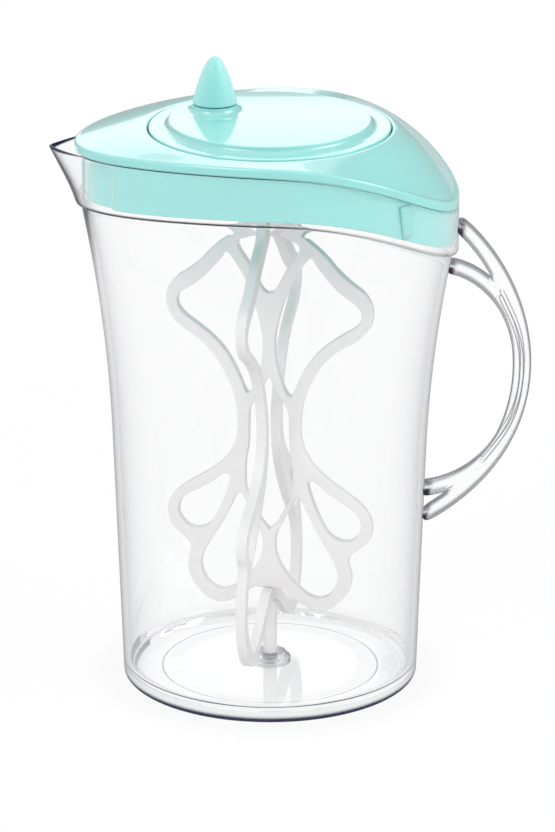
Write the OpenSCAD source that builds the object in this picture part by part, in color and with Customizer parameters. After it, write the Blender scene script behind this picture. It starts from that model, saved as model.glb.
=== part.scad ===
/* [Jug] */
// Radius of the round base
base_r = 55; // [52:0.5:58]
// Thickness of the jug's wall
wall = 2.2; // [1.8:0.1:2.6]
// Thickness of the floor
floor_t = 3; // [2.5:0.1:4]
// Rounding of the bottom edge, outside
base_round = 1.5; // [1:0.25:2.5]
// Rounding between floor and wall, inside
floor_round = 5; // [4:0.5:8]
// Radius of the shallow recess under the base
recess_r = 40.5; // [30:0.5:45]
// Depth of the recess under the base
recess_depth = 0.8; // [0.4:0.1:1.2]
// Share of the widening from base to shoulder that is a straight taper
taper_share = 0.47; // [0.4:0.01:0.6]
// Height, as a share of the wall, where the flare begins
flare_start = 0.525; // [0.4:0.005:0.6]

/* [Mouth] */
// From the axis to the rim on the spout side
mouth_spout = 71.5; // [69:0.5:74]
// From the axis to the rim on the handle side
mouth_handle = 69.2; // [67:0.2:72]
// How much wider than the base the mouth is on each side of the axis
mouth_side = -1; // [-1.5:0.25:1]
// How much wider the handle half of the mouth is than the spout half
mouth_skew = 0.135; // [0.1:0.005:0.2]
// Height of the rim at the middle
rim_mid_z = 208.2; // [204:0.2:212]
// How far the rim swoops down to the handle
rim_drop = 24.3; // [20:0.1:28]
// Exponent of that swoop
rim_swoop = 2.54; // [2.2:0.02:2.8]
// How far the rim falls towards the spout
spout_drop = 5; // [2:0.5:6]
// Height of the collar at the middle
collar_h = 18.9; // [17:0.1:20]
// Loss of collar height for each millimetre towards the handle
collar_slope = 0.02; // [0:0.005:0.04]
// How far the collar stands out from the wall below it
shoulder_step = 2; // [1.5:0.1:2.5]
// Reach of the pouring lip beyond the rim
lip_reach = 9.5; // [7:0.5:12]
// Half width of the pouring lip where it leaves the rim
lip_half_w = 16; // [13:0.5:19]

/* [Handle] */
// Height where the upper leg leaves the collar
handle_top_z = 178; // [176:0.5:179]
// Height where the lowest leg meets the wall
handle_low_z = 62.5; // [58:0.5:66]
// Height of the second upper leg's root
handle_top2_z = 161; // [158:0.5:163]
// Height of the second lower leg's root
handle_low2_z = 74; // [72:0.5:78]
// Angle at which the upper leg falls away from the jug
handle_top_angle = 38.5; // [36:0.5:41]
// Angle at which the lowest leg rises from the jug
handle_low_angle = 31; // [28:0.5:33]
// How long the upper leg keeps its direction
handle_top_pull = 36.5; // [34:0.5:39]
// How long the lowest leg keeps its direction
handle_low_pull = 63.5; // [61:0.5:66]
// Width of the grip in its plane, at its middle
grip_w = 6.8; // [6.2:0.1:7.4]
// Width of each leg in the same plane
leg_w = 5; // [4.6:0.1:5.4]
// Depth of the handle, across the jug
handle_depth = 10; // [8:0.5:14]
// How deep the legs are moulded into the wall
leg_sink = 1.2; // [0.8:0.1:1.6]
// Width of the groove along both faces of the grip
groove_w = 1.5; // [1:0.1:2]
// Depth of that groove
groove_depth = 3; // [2:0.1:3.5]

/* [Lid] */
// Height of the lid's flat top around the dial
lid_top_z = 212; // [211.5:0.1:213]
// Height of the lid's side face at the middle
flange_h = 3.6; // [3.2:0.1:4.2]
// Extra height of the side face at the handle end
flange_gain = 0.8; // [0.4:0.1:1.6]
// Width of the flange's underside
flange_w = 4.6; // [4.2:0.1:4.8]
// Thickness of the lid's skin
lid_skin = 2; // [1.6:0.1:2.2]
// Wall of the round well that holds the dial
well_wall = 1.6; // [1.2:0.1:1.8]
// Depth of that well
well_depth = 5; // [4.5:0.1:5.5]
// Thickness of the well's floor
well_floor = 1.8; // [1.4:0.1:2.2]
// Wall of the plug that goes down inside the collar
plug_t = 1.6; // [1.2:0.1:1.8]
// Thickness of the deck at the plug's top
deck_t = 1.8; // [1.4:0.1:2.2]
// How far the plug is set back behind the spout
pour_recess = 1; // [0.6:0.1:1.6]
// Half of the turn over which it is set back
pour_half_turn = 40; // [34:1:44]
// Length of the wedge ribs on the plug
rib_len = 14; // [10:0.5:14.5]
// Width of a wedge rib at its top
rib_top_w = 6.6; // [5:0.1:8]
// Width of a wedge rib at its bottom
rib_low_w = 2.6; // [2:0.1:4]
// Turn from the handle at which the ribs sit
rib_turn = 37; // [34:1:44]

/* [Dial] */
// Radius of the dial
dial_r = 44.2; // [43:0.1:44.6]
// Radius of the raised top of the dial
dial_top_r = 37; // [34:0.5:39]
// Height of the raised top above the lid
dial_rise = 3; // [2:0.1:4]
// Height of the dial's outer ring above the lid
dial_edge_rise = 0.4; // [0:0.1:0.8]
// Thickness of the dial's skin
dial_skin = 2; // [1.6:0.1:2.4]

/* [Knob] */
// Radius of the knob at its base
knob_r = 8.3; // [7.5:0.1:9]
// Height of the knob
knob_h = 17.4; // [15:0.2:21]
// How full the knob's pointed side is
knob_fullness = 1.15; // [1:0.05:1.6]
// Distance of the knob from the dial's axis
knob_orbit = 23.75; // [22:0.25:25]
// Turn of the knob about that axis
knob_turn = 153; // [0:1:359]
// Radius of the foot under the knob, at its top
knob_foot_r = 8.5; // [8:0.1:9.2]
// How far the foot spreads where it meets the dial
knob_foot_flare = 2.1; // [1.5:0.1:2.5]
// Height of that foot
knob_foot_h = 2.3; // [1.8:0.1:2.6]
// Radius of the pin that the knob turns on
knob_pin_r = 2; // [1.6:0.1:2.4]

/* [Drive] */
// Radius of the spindle below the dial
spindle_r = 5; // [4.5:0.1:5.5]
// Wall of the bearing sleeve
sleeve_wall = 2; // [1.6:0.1:2.4]
// Length of the bearing sleeve below the well's floor
sleeve_len = 8; // [6:0.5:10]
// Thickness of the seal ring's cord
seal_d = 1.6; // [1.2:0.1:1.8]
// Thickness of the thrust washer
washer_t = 0.8; // [0.5:0.1:1.2]
// Side of the square drive
square_w = 6; // [5.2:0.1:6.4]
// Outer radius of the drive socket
socket_r = 7.4; // [7:0.1:8]
// Length of the drive socket
socket_len = 12; // [11.5:0.25:13]
// Length of the spindle's square end inside the socket
square_len = 4.5; // [4:0.25:5]
// Radius of the screw's shank
screw_r = 1.5; // [1.2:0.1:1.6]
// Radius of the screw's head
screw_head_r = 2.7; // [2.2:0.1:2.8]

/* [Paddles] */
// Thickness of the paddles
paddle_t = 3.6; // [3:0.1:4.2]
// Turn of the paddles from the handle, at rest
paddle_turn = -10.5; // [-15:0.5:0]
// Radius of the hub that holds the tops of the paddles
hub_r = 9; // [8.5:0.1:10]
// Height of that hub
hub_h = 9; // [8:0.5:10]
// Half length of the hub block at the foot
block_half = 5.5; // [5:0.1:6]
// Top of the hub block
block_top_z = 33; // [32:0.2:34]
// Bottom of the hub block
block_low_z = 26.5; // [25:0.5:28]
// Radius of the pivot post
post_r = 2.6; // [2.2:0.1:3]
// Outer radius of the pivot cup
cup_r = 7.75; // [7:0.25:9]
// Height of the pivot cup above the floor
cup_h = 4; // [3:0.25:5]
// Thickness of the pivot cup's own floor
cup_floor = 1.2; // [0.8:0.1:1.6]

/* [Clearances] */
// Running clearance of shafts, on the radius
shaft_gap = 0.06; // [0.03:0.01:0.09]
// Gap between pieces that move past each other
run_gap = 0.35; // [0.3:0.05:0.5]
// Gap between plug and collar
plug_gap = 0.8; // [0.7:0.05:1]
// Gap of pieces that are pushed together
push_gap = 0.05; // [0.02:0.01:0.1]

/* [Hidden] */
$fn = 96;

clear_tint = [0.86, 0.93, 0.95, 0.45];
mint = [0.68, 0.92, 0.90];
milky = [0.95, 0.96, 0.96];
rubber_white = [0.93, 0.93, 0.92];
steel = [0.75, 0.76, 0.78];

// How far cutting shapes run past the face they cut, and joined shapes run into each other
past = 1;

// Meridians, closer together at the spout and at the handle
meridians = 64;
bunching = 12.9;
turns = [for (i = [0 : meridians - 1]) let (s = 360 * i / meridians) s - bunching * sin(2 * s)];

// Half width of the mouth across the axis
mouth_w = base_r + mouth_side;
// Outline of the mouth at one meridian, drawn in by an inset
function mouth(t, inset = 0) =
    [((cos(t) > 0 ? mouth_handle : mouth_spout) - inset) * cos(t),
     (mouth_w - inset) * sin(t) * (1 + mouth_skew * cos(t))];
function mouth_x(t) = mouth(t)[0];

// Heights that follow the swooping rim
function rim_z(t) = let (x = mouth_x(t)) x > 0
    ? rim_mid_z - rim_drop * pow(x / mouth_handle, rim_swoop)
    : rim_mid_z - spout_drop * pow(x / mouth_spout, 2);
function shoulder_z(t) = rim_z(t) - collar_h + collar_slope * mouth_x(t);
function edge_z(t) = rim_z(t) + flange_h
    + flange_gain * pow(max(0, mouth_x(t)) / mouth_handle, 2);

// Wall below the shoulder: a circle at the base that flares into the mouth's outline
function flare(u) = taper_share * u
    + (1 - taper_share) * pow(max(0, u - flare_start) / (1 - flare_start), 2);
function wall_xy(t, z, inset) = let (w = flare(min(1, z / shoulder_z(t))))
    (1 - w) * (base_r - inset) * [cos(t), sin(t)] + w * mouth(t, shoulder_step + inset);

// Collar above the shoulder, with the pouring lip growing towards the rim
function lip(t) = cos(t) > 0 ? 0 : max(0, 1 - abs(mouth(t)[1]) / lip_half_w);
function collar_xy(t, s, inset) = mouth(t, inset) - [lip_reach * s * lip(t), 0];

function at(xy, z) = [xy[0], xy[1], z];
function mix(a, b, v) = a + (b - a) * v;
function ring_points(n, total) = [for (i = [0 : n - 1]) (i + 1) / n * total];

function wall_ring(u, low_z, inset) = [for (t = turns)
    let (z = mix(low_z, shoulder_z(t), u)) at(wall_xy(t, z, inset), z)];
function edge_ring(angle, round, low_z, inset) = [for (t = turns)
    let (z = low_z + round * (1 - cos(angle)))
    at(wall_xy(t, z, inset + round * (1 - sin(angle))), z)];
function collar_ring(s, inset) = [for (t = turns)
    at(collar_xy(t, s, inset), mix(shoulder_z(t) + shoulder_step / 2, rim_z(t), s))];
function rim_ring(inset) = [for (t = turns) at(collar_xy(t, 1, inset), rim_z(t))];
function circle_ring(r, z) = [for (t = turns) [r * cos(t), r * sin(t), z]];

// Closed surface over a list of rings, capped at both ends or closed on itself
module skin(rings, loop = false) {
    n = len(rings[0]);
    m = len(rings);
    bands = loop ? m : m - 1;
    sides = [for (i = [0 : bands - 1], j = [0 : n - 1])
        let (a = i * n + j, b = i * n + (j + 1) % n, k = (i + 1) % m * n,
             c = k + (j + 1) % n, d = k + j)
        each [[a, c, b], [a, d, c]]];
    caps = loop ? [] : [[for (j = [0 : n - 1]) j], [for (j = [n - 1 : -1 : 0]) (m - 1) * n + j]];
    polyhedron([for (r = rings) each r], concat(sides, caps), convexity = 8);
}

// Curves
function bezier(p, v) = pow(1 - v, 3) * p[0] + 3 * pow(1 - v, 2) * v * p[1]
    + 3 * (1 - v) * v * v * p[2] + pow(v, 3) * p[3];
function bezier_dir(p, v) = let (d = pow(1 - v, 2) * (p[1] - p[0])
    + 2 * (1 - v) * v * (p[2] - p[1]) + v * v * (p[3] - p[2])) d / norm(d);
function spline_at(a, b, c, d, v) = 0.5 * (2 * b + (c - a) * v + (2 * a - 5 * b + 4 * c - d) * v * v
    + (3 * b - a - 3 * c + d) * pow(v, 3));
// Smooth closed outline through a few points
function outline(p, steps = 3) = let (n = len(p)) [for (i = [0 : n - 1], s = [0 : steps - 1])
    spline_at(p[(i + n - 1) % n], p[i], p[(i + 1) % n], p[(i + 2) % n], s / steps)];
// Smooth open run through a few points
function run(p, steps = 3) = let (n = len(p)) concat([for (i = [0 : n - 2], s = [0 : steps - 1])
    spline_at(p[max(0, i - 1)], p[i], p[i + 1], p[min(n - 1, i + 2)], s / steps)], [p[n - 1]]);
function reversed(p) = [for (i = [len(p) - 1 : -1 : 0]) p[i]];
function flip(p) = [for (q = reversed(p)) [-q[0], q[1]]];

wall_rows = 9;
collar_rows = 3;
module jug_shell() {
    skin(concat(
        [edge_ring(0, base_round, 0, 0), edge_ring(35, base_round, 0, 0)],
        [edge_ring(65, base_round, 0, 0), wall_ring(0, base_round, 0)],
        [for (u = ring_points(wall_rows, 1)) wall_ring(u, base_round, 0)],
        [for (i = [0 : collar_rows]) collar_ring(i / collar_rows, 0)],
        [for (i = [collar_rows : -1 : 0]) collar_ring(i / collar_rows, wall)],
        [for (i = [wall_rows : -1 : 0]) wall_ring(i / wall_rows, floor_t + floor_round, wall)],
        [for (a = [65, 40, 20, 0]) edge_ring(a, floor_round, floor_t, wall)]));
}
module jug_body() {
    color(clear_tint) difference() {
        jug_shell();
        translate([0, 0, -past]) cylinder(r = recess_r, h = past + recess_depth);
    }
}

// Outer face of the wall in the handle's plane
function handle_wall_x(z) = wall_xy(0, z, 0)[0];
function root(z) = [(z > shoulder_z(0) ? mouth_handle : handle_wall_x(z)) - leg_sink, z];
grip_path = [root(handle_top_z),
    root(handle_top_z) + handle_top_pull * [cos(handle_top_angle), -sin(handle_top_angle)],
    root(handle_low_z) + handle_low_pull * [cos(handle_low_angle), sin(handle_low_angle)],
    root(handle_low_z)];
// Where the second legs run into the grip, along its inner side, and how gently
join_top = 0.52;
join_low = 0.7;
pull_top = 26;
pull_low = 15;
leg_lead = 12;
leg_slant = 1;
join_share = 0.8;
function grip_width(v) = leg_w + (grip_w - leg_w) * pow(sin(180 * v), 2);
function join_at(v) = let (d = bezier_dir(grip_path, v))
    bezier(grip_path, v) + join_share * (grip_width(v) - leg_w) / 2 * [d[1], -d[0]];
upper_leg_path = [root(handle_top2_z), root(handle_top2_z) + [leg_lead, -leg_slant],
    join_at(join_top) - pull_top * bezier_dir(grip_path, join_top), join_at(join_top)];
lower_leg_path = [root(handle_low2_z), root(handle_low2_z) + [leg_lead, leg_slant],
    join_at(join_low) + pull_low * bezier_dir(grip_path, join_low), join_at(join_low)];

// Bar of rounded section along a curve in the handle's plane
bar_sides = 14;
grip_rows = 26;
leg_rows = 12;
squareness = 0.6;
function rounded(a) = [sign(cos(a)) * pow(abs(cos(a)), squareness),
    sign(sin(a)) * pow(abs(sin(a)), squareness)];
function bar_ring(p, v, w, depth, aside = [0, 0]) = let (c = bezier(p, v), d = bezier_dir(p, v))
    [for (i = [0 : bar_sides - 1]) let (q = rounded(360 * (i + 0.5) / bar_sides),
        n = aside[0] + q[0] * w / 2)
        [c[0] - d[1] * n, aside[1] - q[1] * depth / 2, c[1] + d[0] * n]];
module grip() {
    skin([for (i = [0 : grip_rows]) let (v = i / grip_rows)
        bar_ring(grip_path, v, grip_width(v), handle_depth)]);
}
module leg(p) {
    skin([for (i = [0 : leg_rows]) bar_ring(p, i / leg_rows, leg_w, handle_depth)]);
}
// Groove between the two beads of the grip, running out into the forks at both ends
groove_top = 0.27;
groove_low = 0.81;
groove_bend = 4;
module groove(side) {
    skin([for (i = [0 : grip_rows]) let (s = i / grip_rows)
        bar_ring(grip_path, mix(groove_top, groove_low, s), groove_w, 2 * groove_depth,
            [-leg_w / 2 * pow(cos(180 * s), groove_bend), side * handle_depth / 2])]);
}
module jug_handle() {
    color(clear_tint) difference() {
        union() {
            grip();
            leg(upper_leg_path);
            leg(lower_leg_path);
        }
        for (side = [-1, 1]) groove(side);
    }
}

post_low_z = floor_t + cup_floor + run_gap;
// Heights of the cup's two steps as shares of its own height
cup_step_low = 0.55;
cup_step_high = 0.7;
module pivot_cup() {
    step_r = cup_r - (cup_r - post_r) / 3;
    bore_r = post_r + shaft_gap;
    color(clear_tint) translate([0, 0, floor_t]) rotate_extrude() polygon([
        [0, 0], [cup_r, 0], [cup_r, cup_h * cup_step_low], [step_r, cup_h * cup_step_high],
        [step_r, cup_h], [bore_r, cup_h], [bore_r, cup_floor], [0, cup_floor]]);
}

well_r = dial_r + run_gap;
well_out = well_r + well_wall;
well_z = lid_top_z - well_depth;
sleeve_bore = spindle_r + shaft_gap;
sleeve_r = sleeve_bore + sleeve_wall;

// Lid surface from the well's edge out to the rim, at a share of the way
function lid_xy(t, v, inset) = mix((well_out - well_wall / 2) * [cos(t), sin(t)], mouth(t, inset), v);
dome_fall = 1.4;
function lid_z(t, v) = mix(lid_top_z, edge_z(t), pow(v, dome_fall));
function lid_ring(v, inset, drop) = [for (t = turns) at(lid_xy(t, v, inset), lid_z(t, v) - drop)];
function flange_ring(inset) = [for (t = turns) at(mouth(t, inset), rim_z(t) + run_gap)];
edge_round = 1.2;
edge_mid = 0.3 * edge_round;
module lid_cover() {
    shares = [0, 0.3, 0.6, 0.85];
    color(mint) difference() {
        union() {
            skin(concat(
                [for (v = shares) lid_ring(v, flange_w, lid_skin)],
                [flange_ring(flange_w), flange_ring(0), lid_ring(1, 0, edge_round)],
                [lid_ring(1, edge_mid, edge_mid), lid_ring(1, edge_round, 0)],
                [for (i = [len(shares) - 1 : -1 : 0]) lid_ring(shares[i], edge_round, 0)]), true);
            translate([0, 0, well_z - well_floor])
                cylinder(r = well_out, h = lid_top_z - well_z + well_floor);
        }
        translate([0, 0, well_z]) cylinder(r = well_r, h = well_depth + past);
        translate([0, 0, well_z - well_floor - past]) cylinder(r = sleeve_r, h = well_floor + 2 * past);
    }
}

// Inset of the plug, deeper behind the spout to let liquid past
pour_blend = 4;
function pour_share(t) = min(1, max(0, (pour_half_turn - abs(t - 180)) / pour_blend));
function plug_inset(t) = wall + plug_gap + pour_recess * pour_share(t);
function plug_low_z(t) = shoulder_z(t) + shoulder_step / 2 + plug_gap;
function plug_top_z(t) = rim_z(t) + run_gap;
function plug_ring(s, extra, drop) = [for (t = turns)
    at(mouth(t, plug_inset(t) + extra), mix(plug_low_z(t), plug_top_z(t) - drop, s))];
function deck_ring(drop) = [for (t = turns)
    at((well_out + push_gap) * [cos(t), sin(t)], min(plug_top_z(t), well_z + past) - drop)];
rib_out = plug_gap / 4;
module wedge_rib() {
    translate([0, rib_out, 0]) rotate([90, 0, 0]) linear_extrude(rib_out + plug_t / 2) polygon([
        [-rib_top_w / 2, 0], [rib_top_w / 2, 0], [rib_low_w / 2, -rib_len], [-rib_low_w / 2, -rib_len]]);
}
module lid_plug() {
    rows = 3;
    along = mouth(rib_turn + 1) - mouth(rib_turn - 1);
    color(mint) {
        skin(concat(
            [for (i = [0 : rows]) plug_ring(i / rows, 0, 0)],
            [deck_ring(0), deck_ring(deck_t)],
            [for (i = [rows : -1 : 0]) plug_ring(i / rows, plug_t, deck_t)]), true);
        for (side = [0, 1]) mirror([0, side, 0])
            translate(at(mouth(rib_turn, plug_inset(rib_turn)), plug_top_z(rib_turn) - past))
                rotate([0, 0, atan2(along[1], along[0]) - 180]) wedge_rib();
    }
}

sleeve_low_z = well_z - well_floor - sleeve_len;
sleeve_lip = 1.8;
sleeve_lip_t = 0.8;
seal_seat = seal_d + 2 * push_gap;
module bearing_sleeve() {
    color(milky) rotate_extrude() polygon([
        [sleeve_bore, sleeve_low_z + seal_seat], [sleeve_bore, well_z + sleeve_lip_t],
        [sleeve_r + sleeve_lip, well_z + sleeve_lip_t], [sleeve_r + sleeve_lip, well_z],
        [sleeve_r, well_z], [sleeve_r, sleeve_low_z],
        [sleeve_bore + seal_seat, sleeve_low_z], [sleeve_bore + seal_seat, sleeve_low_z + seal_seat]]);
}
module spindle_seal() {
    color(rubber_white) translate([0, 0, sleeve_low_z + seal_seat / 2]) rotate_extrude()
        translate([sleeve_bore + seal_d / 2, 0]) circle(d = seal_d, $fn = 32);
}

dial_low_z = well_z + sleeve_lip_t + run_gap;
dial_top_z = lid_top_z + dial_rise;
dial_edge_z = lid_top_z + dial_edge_rise;
// Hollow cove between the dial's outer ring and its raised top
cove_w = 2.6;
dial_round = 0.5;
cove = [for (a = [0 : 15 : 90]) [dial_top_r + cove_w * (1 - sin(a)), dial_edge_z
    + (dial_top_z - dial_edge_z - dial_round) * (1 - cos(a))]];
knob_at = knob_orbit * [cos(knob_turn), sin(knob_turn)];
knob_foot_z = dial_top_z + knob_foot_h;
boss_r = knob_pin_r + dial_skin;
boss_low_z = dial_low_z + dial_skin;
// Hollow curve of the knob's foot
foot_curve = [for (a = [0 : 15 : 90]) [knob_foot_r + knob_foot_flare * (1 - sin(a)),
    knob_foot_h * (1 - cos(a))]];
module dial() {
    middle_r = spindle_r + dial_skin;
    color(mint) difference() {
        union() {
            rotate_extrude() polygon(concat(
                [[0, dial_top_z], [0, boss_low_z], [middle_r, boss_low_z]],
                [[middle_r, dial_top_z - dial_skin], [dial_top_r - dial_skin, dial_top_z - dial_skin]],
                [[dial_r - dial_skin, dial_edge_z - dial_skin], [dial_r - dial_skin, dial_low_z]],
                [[dial_r, dial_low_z], [dial_r, dial_edge_z - dial_round]],
                [[dial_r - dial_round, dial_edge_z]], cove, [[dial_top_r - dial_round, dial_top_z]]));
            translate(at(knob_at, boss_low_z)) cylinder(r = boss_r, h = dial_top_z - boss_low_z);
            translate(at(knob_at, dial_top_z)) rotate_extrude() polygon(concat(
                [[0, knob_foot_h], [0, -dial_skin / 2], [knob_foot_r, -dial_skin / 2]], foot_curve));
        }
        translate(at(knob_at, dial_low_z)) cylinder(r = knob_pin_r + push_gap, h = knob_h);
    }
}

spindle_low_z = sleeve_low_z - run_gap - washer_t;
socket_top_z = spindle_low_z;
socket_low_z = socket_top_z - socket_len;
spindle_end_z = socket_top_z - square_len;
screw_bite = 6;
module drive_spindle() {
    color(milky) difference() {
        union() {
            translate([0, 0, spindle_low_z]) cylinder(r = spindle_r, h = boss_low_z - spindle_low_z);
            translate([-square_w / 2, -square_w / 2, spindle_end_z])
                cube([square_w, square_w, square_len + past]);
        }
        translate([0, 0, spindle_end_z - past])
            cylinder(r = screw_r + push_gap, h = past + square_len + screw_bite + past);
    }
}
module thrust_washer() {
    color(rubber_white) translate([0, 0, spindle_low_z]) difference() {
        cylinder(r = socket_r, h = washer_t);
        translate([0, 0, -past]) cylinder(r = spindle_r + push_gap, h = washer_t + 2 * past);
    }
}
socket_web = 1.6;
module drive_socket() {
    hole = square_w + 2 * push_gap;
    color(milky) difference() {
        translate([0, 0, socket_low_z]) cylinder(r = socket_r, h = socket_len);
        translate([-hole / 2, -hole / 2, spindle_end_z]) cube([hole, hole, square_len + past]);
        translate([-hole / 2, -hole / 2, socket_low_z - past])
            cube([hole, hole, spindle_end_z - socket_web - socket_low_z + past]);
        translate([0, 0, socket_low_z]) cylinder(r = screw_r + push_gap, h = socket_len);
    }
}
screw_head_t = 1.8;
drive_cut = 0.8;
cut_reach = 0.7;
module socket_screw() {
    seat_z = spindle_end_z - socket_web;
    color(steel) difference() {
        union() {
            translate([0, 0, seat_z - screw_head_t]) cylinder(r = screw_head_r, h = screw_head_t);
            translate([0, 0, seat_z - past])
                cylinder(r = screw_r, h = past + socket_web + square_len + screw_bite);
        }
        for (a = [0, 90]) rotate([0, 0, a])
            translate([-screw_head_r * cut_reach, -drive_cut / 2, seat_z - screw_head_t - past])
                cube([2 * screw_head_r * cut_reach, drive_cut, past + drive_cut]);
    }
}

knob_low_z = knob_foot_z + run_gap;
pin_share = 0.6;
pin_top_z = knob_low_z + knob_h * pin_share;
pin_head_t = 0.9;
module knob_pin() {
    color(steel) translate(at(knob_at, 0)) {
        translate([0, 0, boss_low_z - pin_head_t]) cylinder(r = boss_r - push_gap, h = pin_head_t);
        translate([0, 0, boss_low_z - pin_head_t])
            cylinder(r = knob_pin_r, h = pin_top_z - boss_low_z + pin_head_t);
    }
}
// Pointed bullet, widest at its base, with a small round tip
knob_steps = 18;
function knob_side(s) = knob_r * sqrt(max(0, 1 - pow(s, knob_fullness)));
module knob() {
    side = [for (i = [0 : knob_steps]) let (s = sin(90 * i / knob_steps)) [knob_side(s), knob_h * s]];
    bore_r = knob_pin_r + shaft_gap;
    bore_h = pin_top_z - knob_low_z + run_gap;
    color(mint) translate(at(knob_at, knob_low_z)) rotate_extrude() polygon(concat(
        [[0, bore_h], [bore_r, bore_h], [bore_r, 0]], side));
}

hub_top_z = socket_low_z - run_gap / 2;
hub_low_z = hub_top_z - hub_h;
slot_r = 4;
hub_square = socket_len - square_len - socket_web - screw_head_t - run_gap;
module top_hub() {
    slot = paddle_t + 2 * push_gap;
    color(milky) difference() {
        union() {
            translate([0, 0, hub_low_z]) cylinder(r = hub_r, h = hub_h);
            translate([-square_w / 2, -square_w / 2, hub_top_z - past])
                cube([square_w, square_w, hub_square + past]);
        }
        rotate([0, 0, paddle_turn]) for (a = [0 : 90 : 270]) rotate([0, 0, a])
            translate([slot_r, -slot / 2, hub_low_z - past]) cube([hub_r, slot, hub_h + 2 * past]);
    }
}

// Outlines of the paddles as distance from the axis and height
tab_r = slot_r + push_gap;
tab_in = 0.5;
tab_top = hub_top_z - tab_in;
tab_low = hub_low_z + tab_in;
wing_edge = [[hub_r, tab_top], [12.5, 173], [16.2, 169.3], [20, 166.3], [23, 163.3], [26.6, 159.3],
    [31.3, 155.3], [35.5, 152.3], [38.3, 148.5], [39.4, 144], [38.6, 139.8], [36.4, 136], [32.8, 132.8],
    [28, 129.8], [23.4, 126], [19.4, 121.2], [16.2, 115.6], [13.6, 109.5], [12.3, 103], [12, 96.5],
    [12.6, 91.3], [14.6, 86.5], [18, 82], [24, 77], [31, 72.4], [36.4, 68], [39.2, 63], [39.2, 58.3],
    [37.2, 54]];
wide_lobe = [[30.5, 47.5], [31.7, 40.2], [29.8, 33], [24, 27], [18, 25.5], [11, 28.7],
    [block_half + 0.3, block_top_z]];
deep_lobe = [[38, 50], [40, 42], [40.4, 32], [38, 21], [32, 13.5], [26, 12.5], [17, 17.5],
    [block_half, block_low_z]];
wing_window = [[15.9, 163.8], [18.4, 160.6], [21.1, 157.2], [24.7, 153.2], [29, 149.7], [32.8, 147.2],
    [34.9, 144.6], [34.9, 141.4], [32.4, 138.2], [27.8, 135], [22.6, 131.2], [17.4, 126.2], [13.6, 120.4],
    [10.8, 114.4], [9, 110.2], [7.4, 109.7], [5.4, 113.2], [3.6, 118.5], [2.5, 124], [2.3, 131], [3.3, 137],
    [5.3, 144.5], [7, 149], [9.6, 155], [12.1, 159]];
waist_window = [[0, 116.3], [1.5, 114.2], [3.3, 110.6], [5.7, 106.7], [7.5, 103], [7.7, 97.5], [8, 89],
    [9, 83], [9.2, 76], [8.7, 70.8], [5.7, 64.3], [2.8, 59.4], [0, 56.2]];
small_window = [[16.2, 77], [14.9, 75.8], [15.9, 71.5], [17.9, 66], [20.7, 60], [23.5, 56.2], [26.8, 54.5],
    [30.4, 54.4], [33.4, 56.4], [35.2, 59.6], [35.1, 62.8], [33.4, 65.8], [30.4, 68.2], [26.3, 70.4],
    [22, 73.2], [18.8, 76]];
lobe_window = [[10.9, 70], [9.4, 68], [7.4, 63.9], [4.7, 58.9], [2.7, 54.2], [2.3, 50], [2.7, 46.6],
    [4.4, 42.5], [7.4, 38.1], [11.2, 34.2], [14.8, 31.6], [18.6, 30.6], [22.2, 31.7], [25, 34.8],
    [26.6, 39.2], [25.9, 43.6], [23.6, 48.6], [20.4, 53.5], [17.4, 59.1], [14.6, 64.6], [12.5, 69]];
notch_side = [[tab_r, tab_low], [5, 171.8], [8, 169.9], [11, 168.7], [11.8, 166.9], [10.9, 164.6],
    [9.2, 162.1], [7.4, 159.5], [5.4, 155.9], [3.6, 152.3], [2.1, 149.9], [1, 149.2], [0, 149]];
deep_slot = [[21.5, 72.8], [29, 67.7], [33.6, 64.2], [35.2, 60.5], [33.5, 56.3], [30.5, 53.5],
    [26.5, 58.5], [22.5, 65.5]];
deep_inside = [[tab_r, tab_low], [6.2, 170.7], [10, 167.6], [13.4, 164.6], [17, 161.2], [20.4, 157.4],
    [24.4, 153.4], [28.8, 149.8], [32.8, 146.8], [35, 144], [35, 140.6], [32.6, 137], [28, 133.6],
    [22, 129], [17, 123.5], [12.6, 116], [9.4, 108], [7.8, 100], [7.8, 92], [9.2, 84], [12.4, 76.4],
    [17, 69], [23, 60.5], [31, 51.5], [35.6, 43], [36.2, 32.5], [33.8, 24], [30, 18.5], [26, 17.3],
    [18, 22.2], [11, 28.5], [block_half, block_top_z], [0, block_top_z]];

function half_edge(lobe) = concat([[tab_r, tab_top]], run(concat(wing_edge, lobe)));
// Both halves of a symmetrical outline, the first half given from the axis or from a tab
function both(half) = concat(half, flip(half));
module plate() {
    rotate([0, 0, paddle_turn]) rotate([90, 0, 0]) translate([0, 0, -paddle_t / 2])
        linear_extrude(paddle_t) children();
}
module wide_paddle() {
    color(milky) plate() difference() {
        polygon(concat(both(half_edge(wide_lobe)), reversed(both(run(notch_side)))));
        polygon(both(run(waist_window)));
        for (side = [0, 1]) mirror([side, 0]) {
            polygon(outline(wing_window));
            polygon(outline(small_window));
            polygon(outline(lobe_window));
        }
    }
}
module deep_paddle() {
    color(milky) {
        rotate([0, 0, 90]) plate() difference() {
            polygon(concat(both(half_edge(deep_lobe)), reversed(both(run(deep_inside)))));
            for (side = [0, 1]) mirror([side, 0]) polygon(outline(deep_slot));
        }
        translate([0, 0, post_low_z]) cylinder(r = post_r, h = block_low_z + past - post_low_z);
    }
}

jug_body();
jug_handle();
pivot_cup();
lid_cover();
lid_plug();
bearing_sleeve();
spindle_seal();
dial();
drive_spindle();
thrust_washer();
drive_socket();
socket_screw();
knob_pin();
knob();
top_hub();
wide_paddle();
deep_paddle();
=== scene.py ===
"""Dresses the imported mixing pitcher: clear jug and handle, mint lid with its crank dial, milky paddles."""

import math
from types import SimpleNamespace

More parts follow.
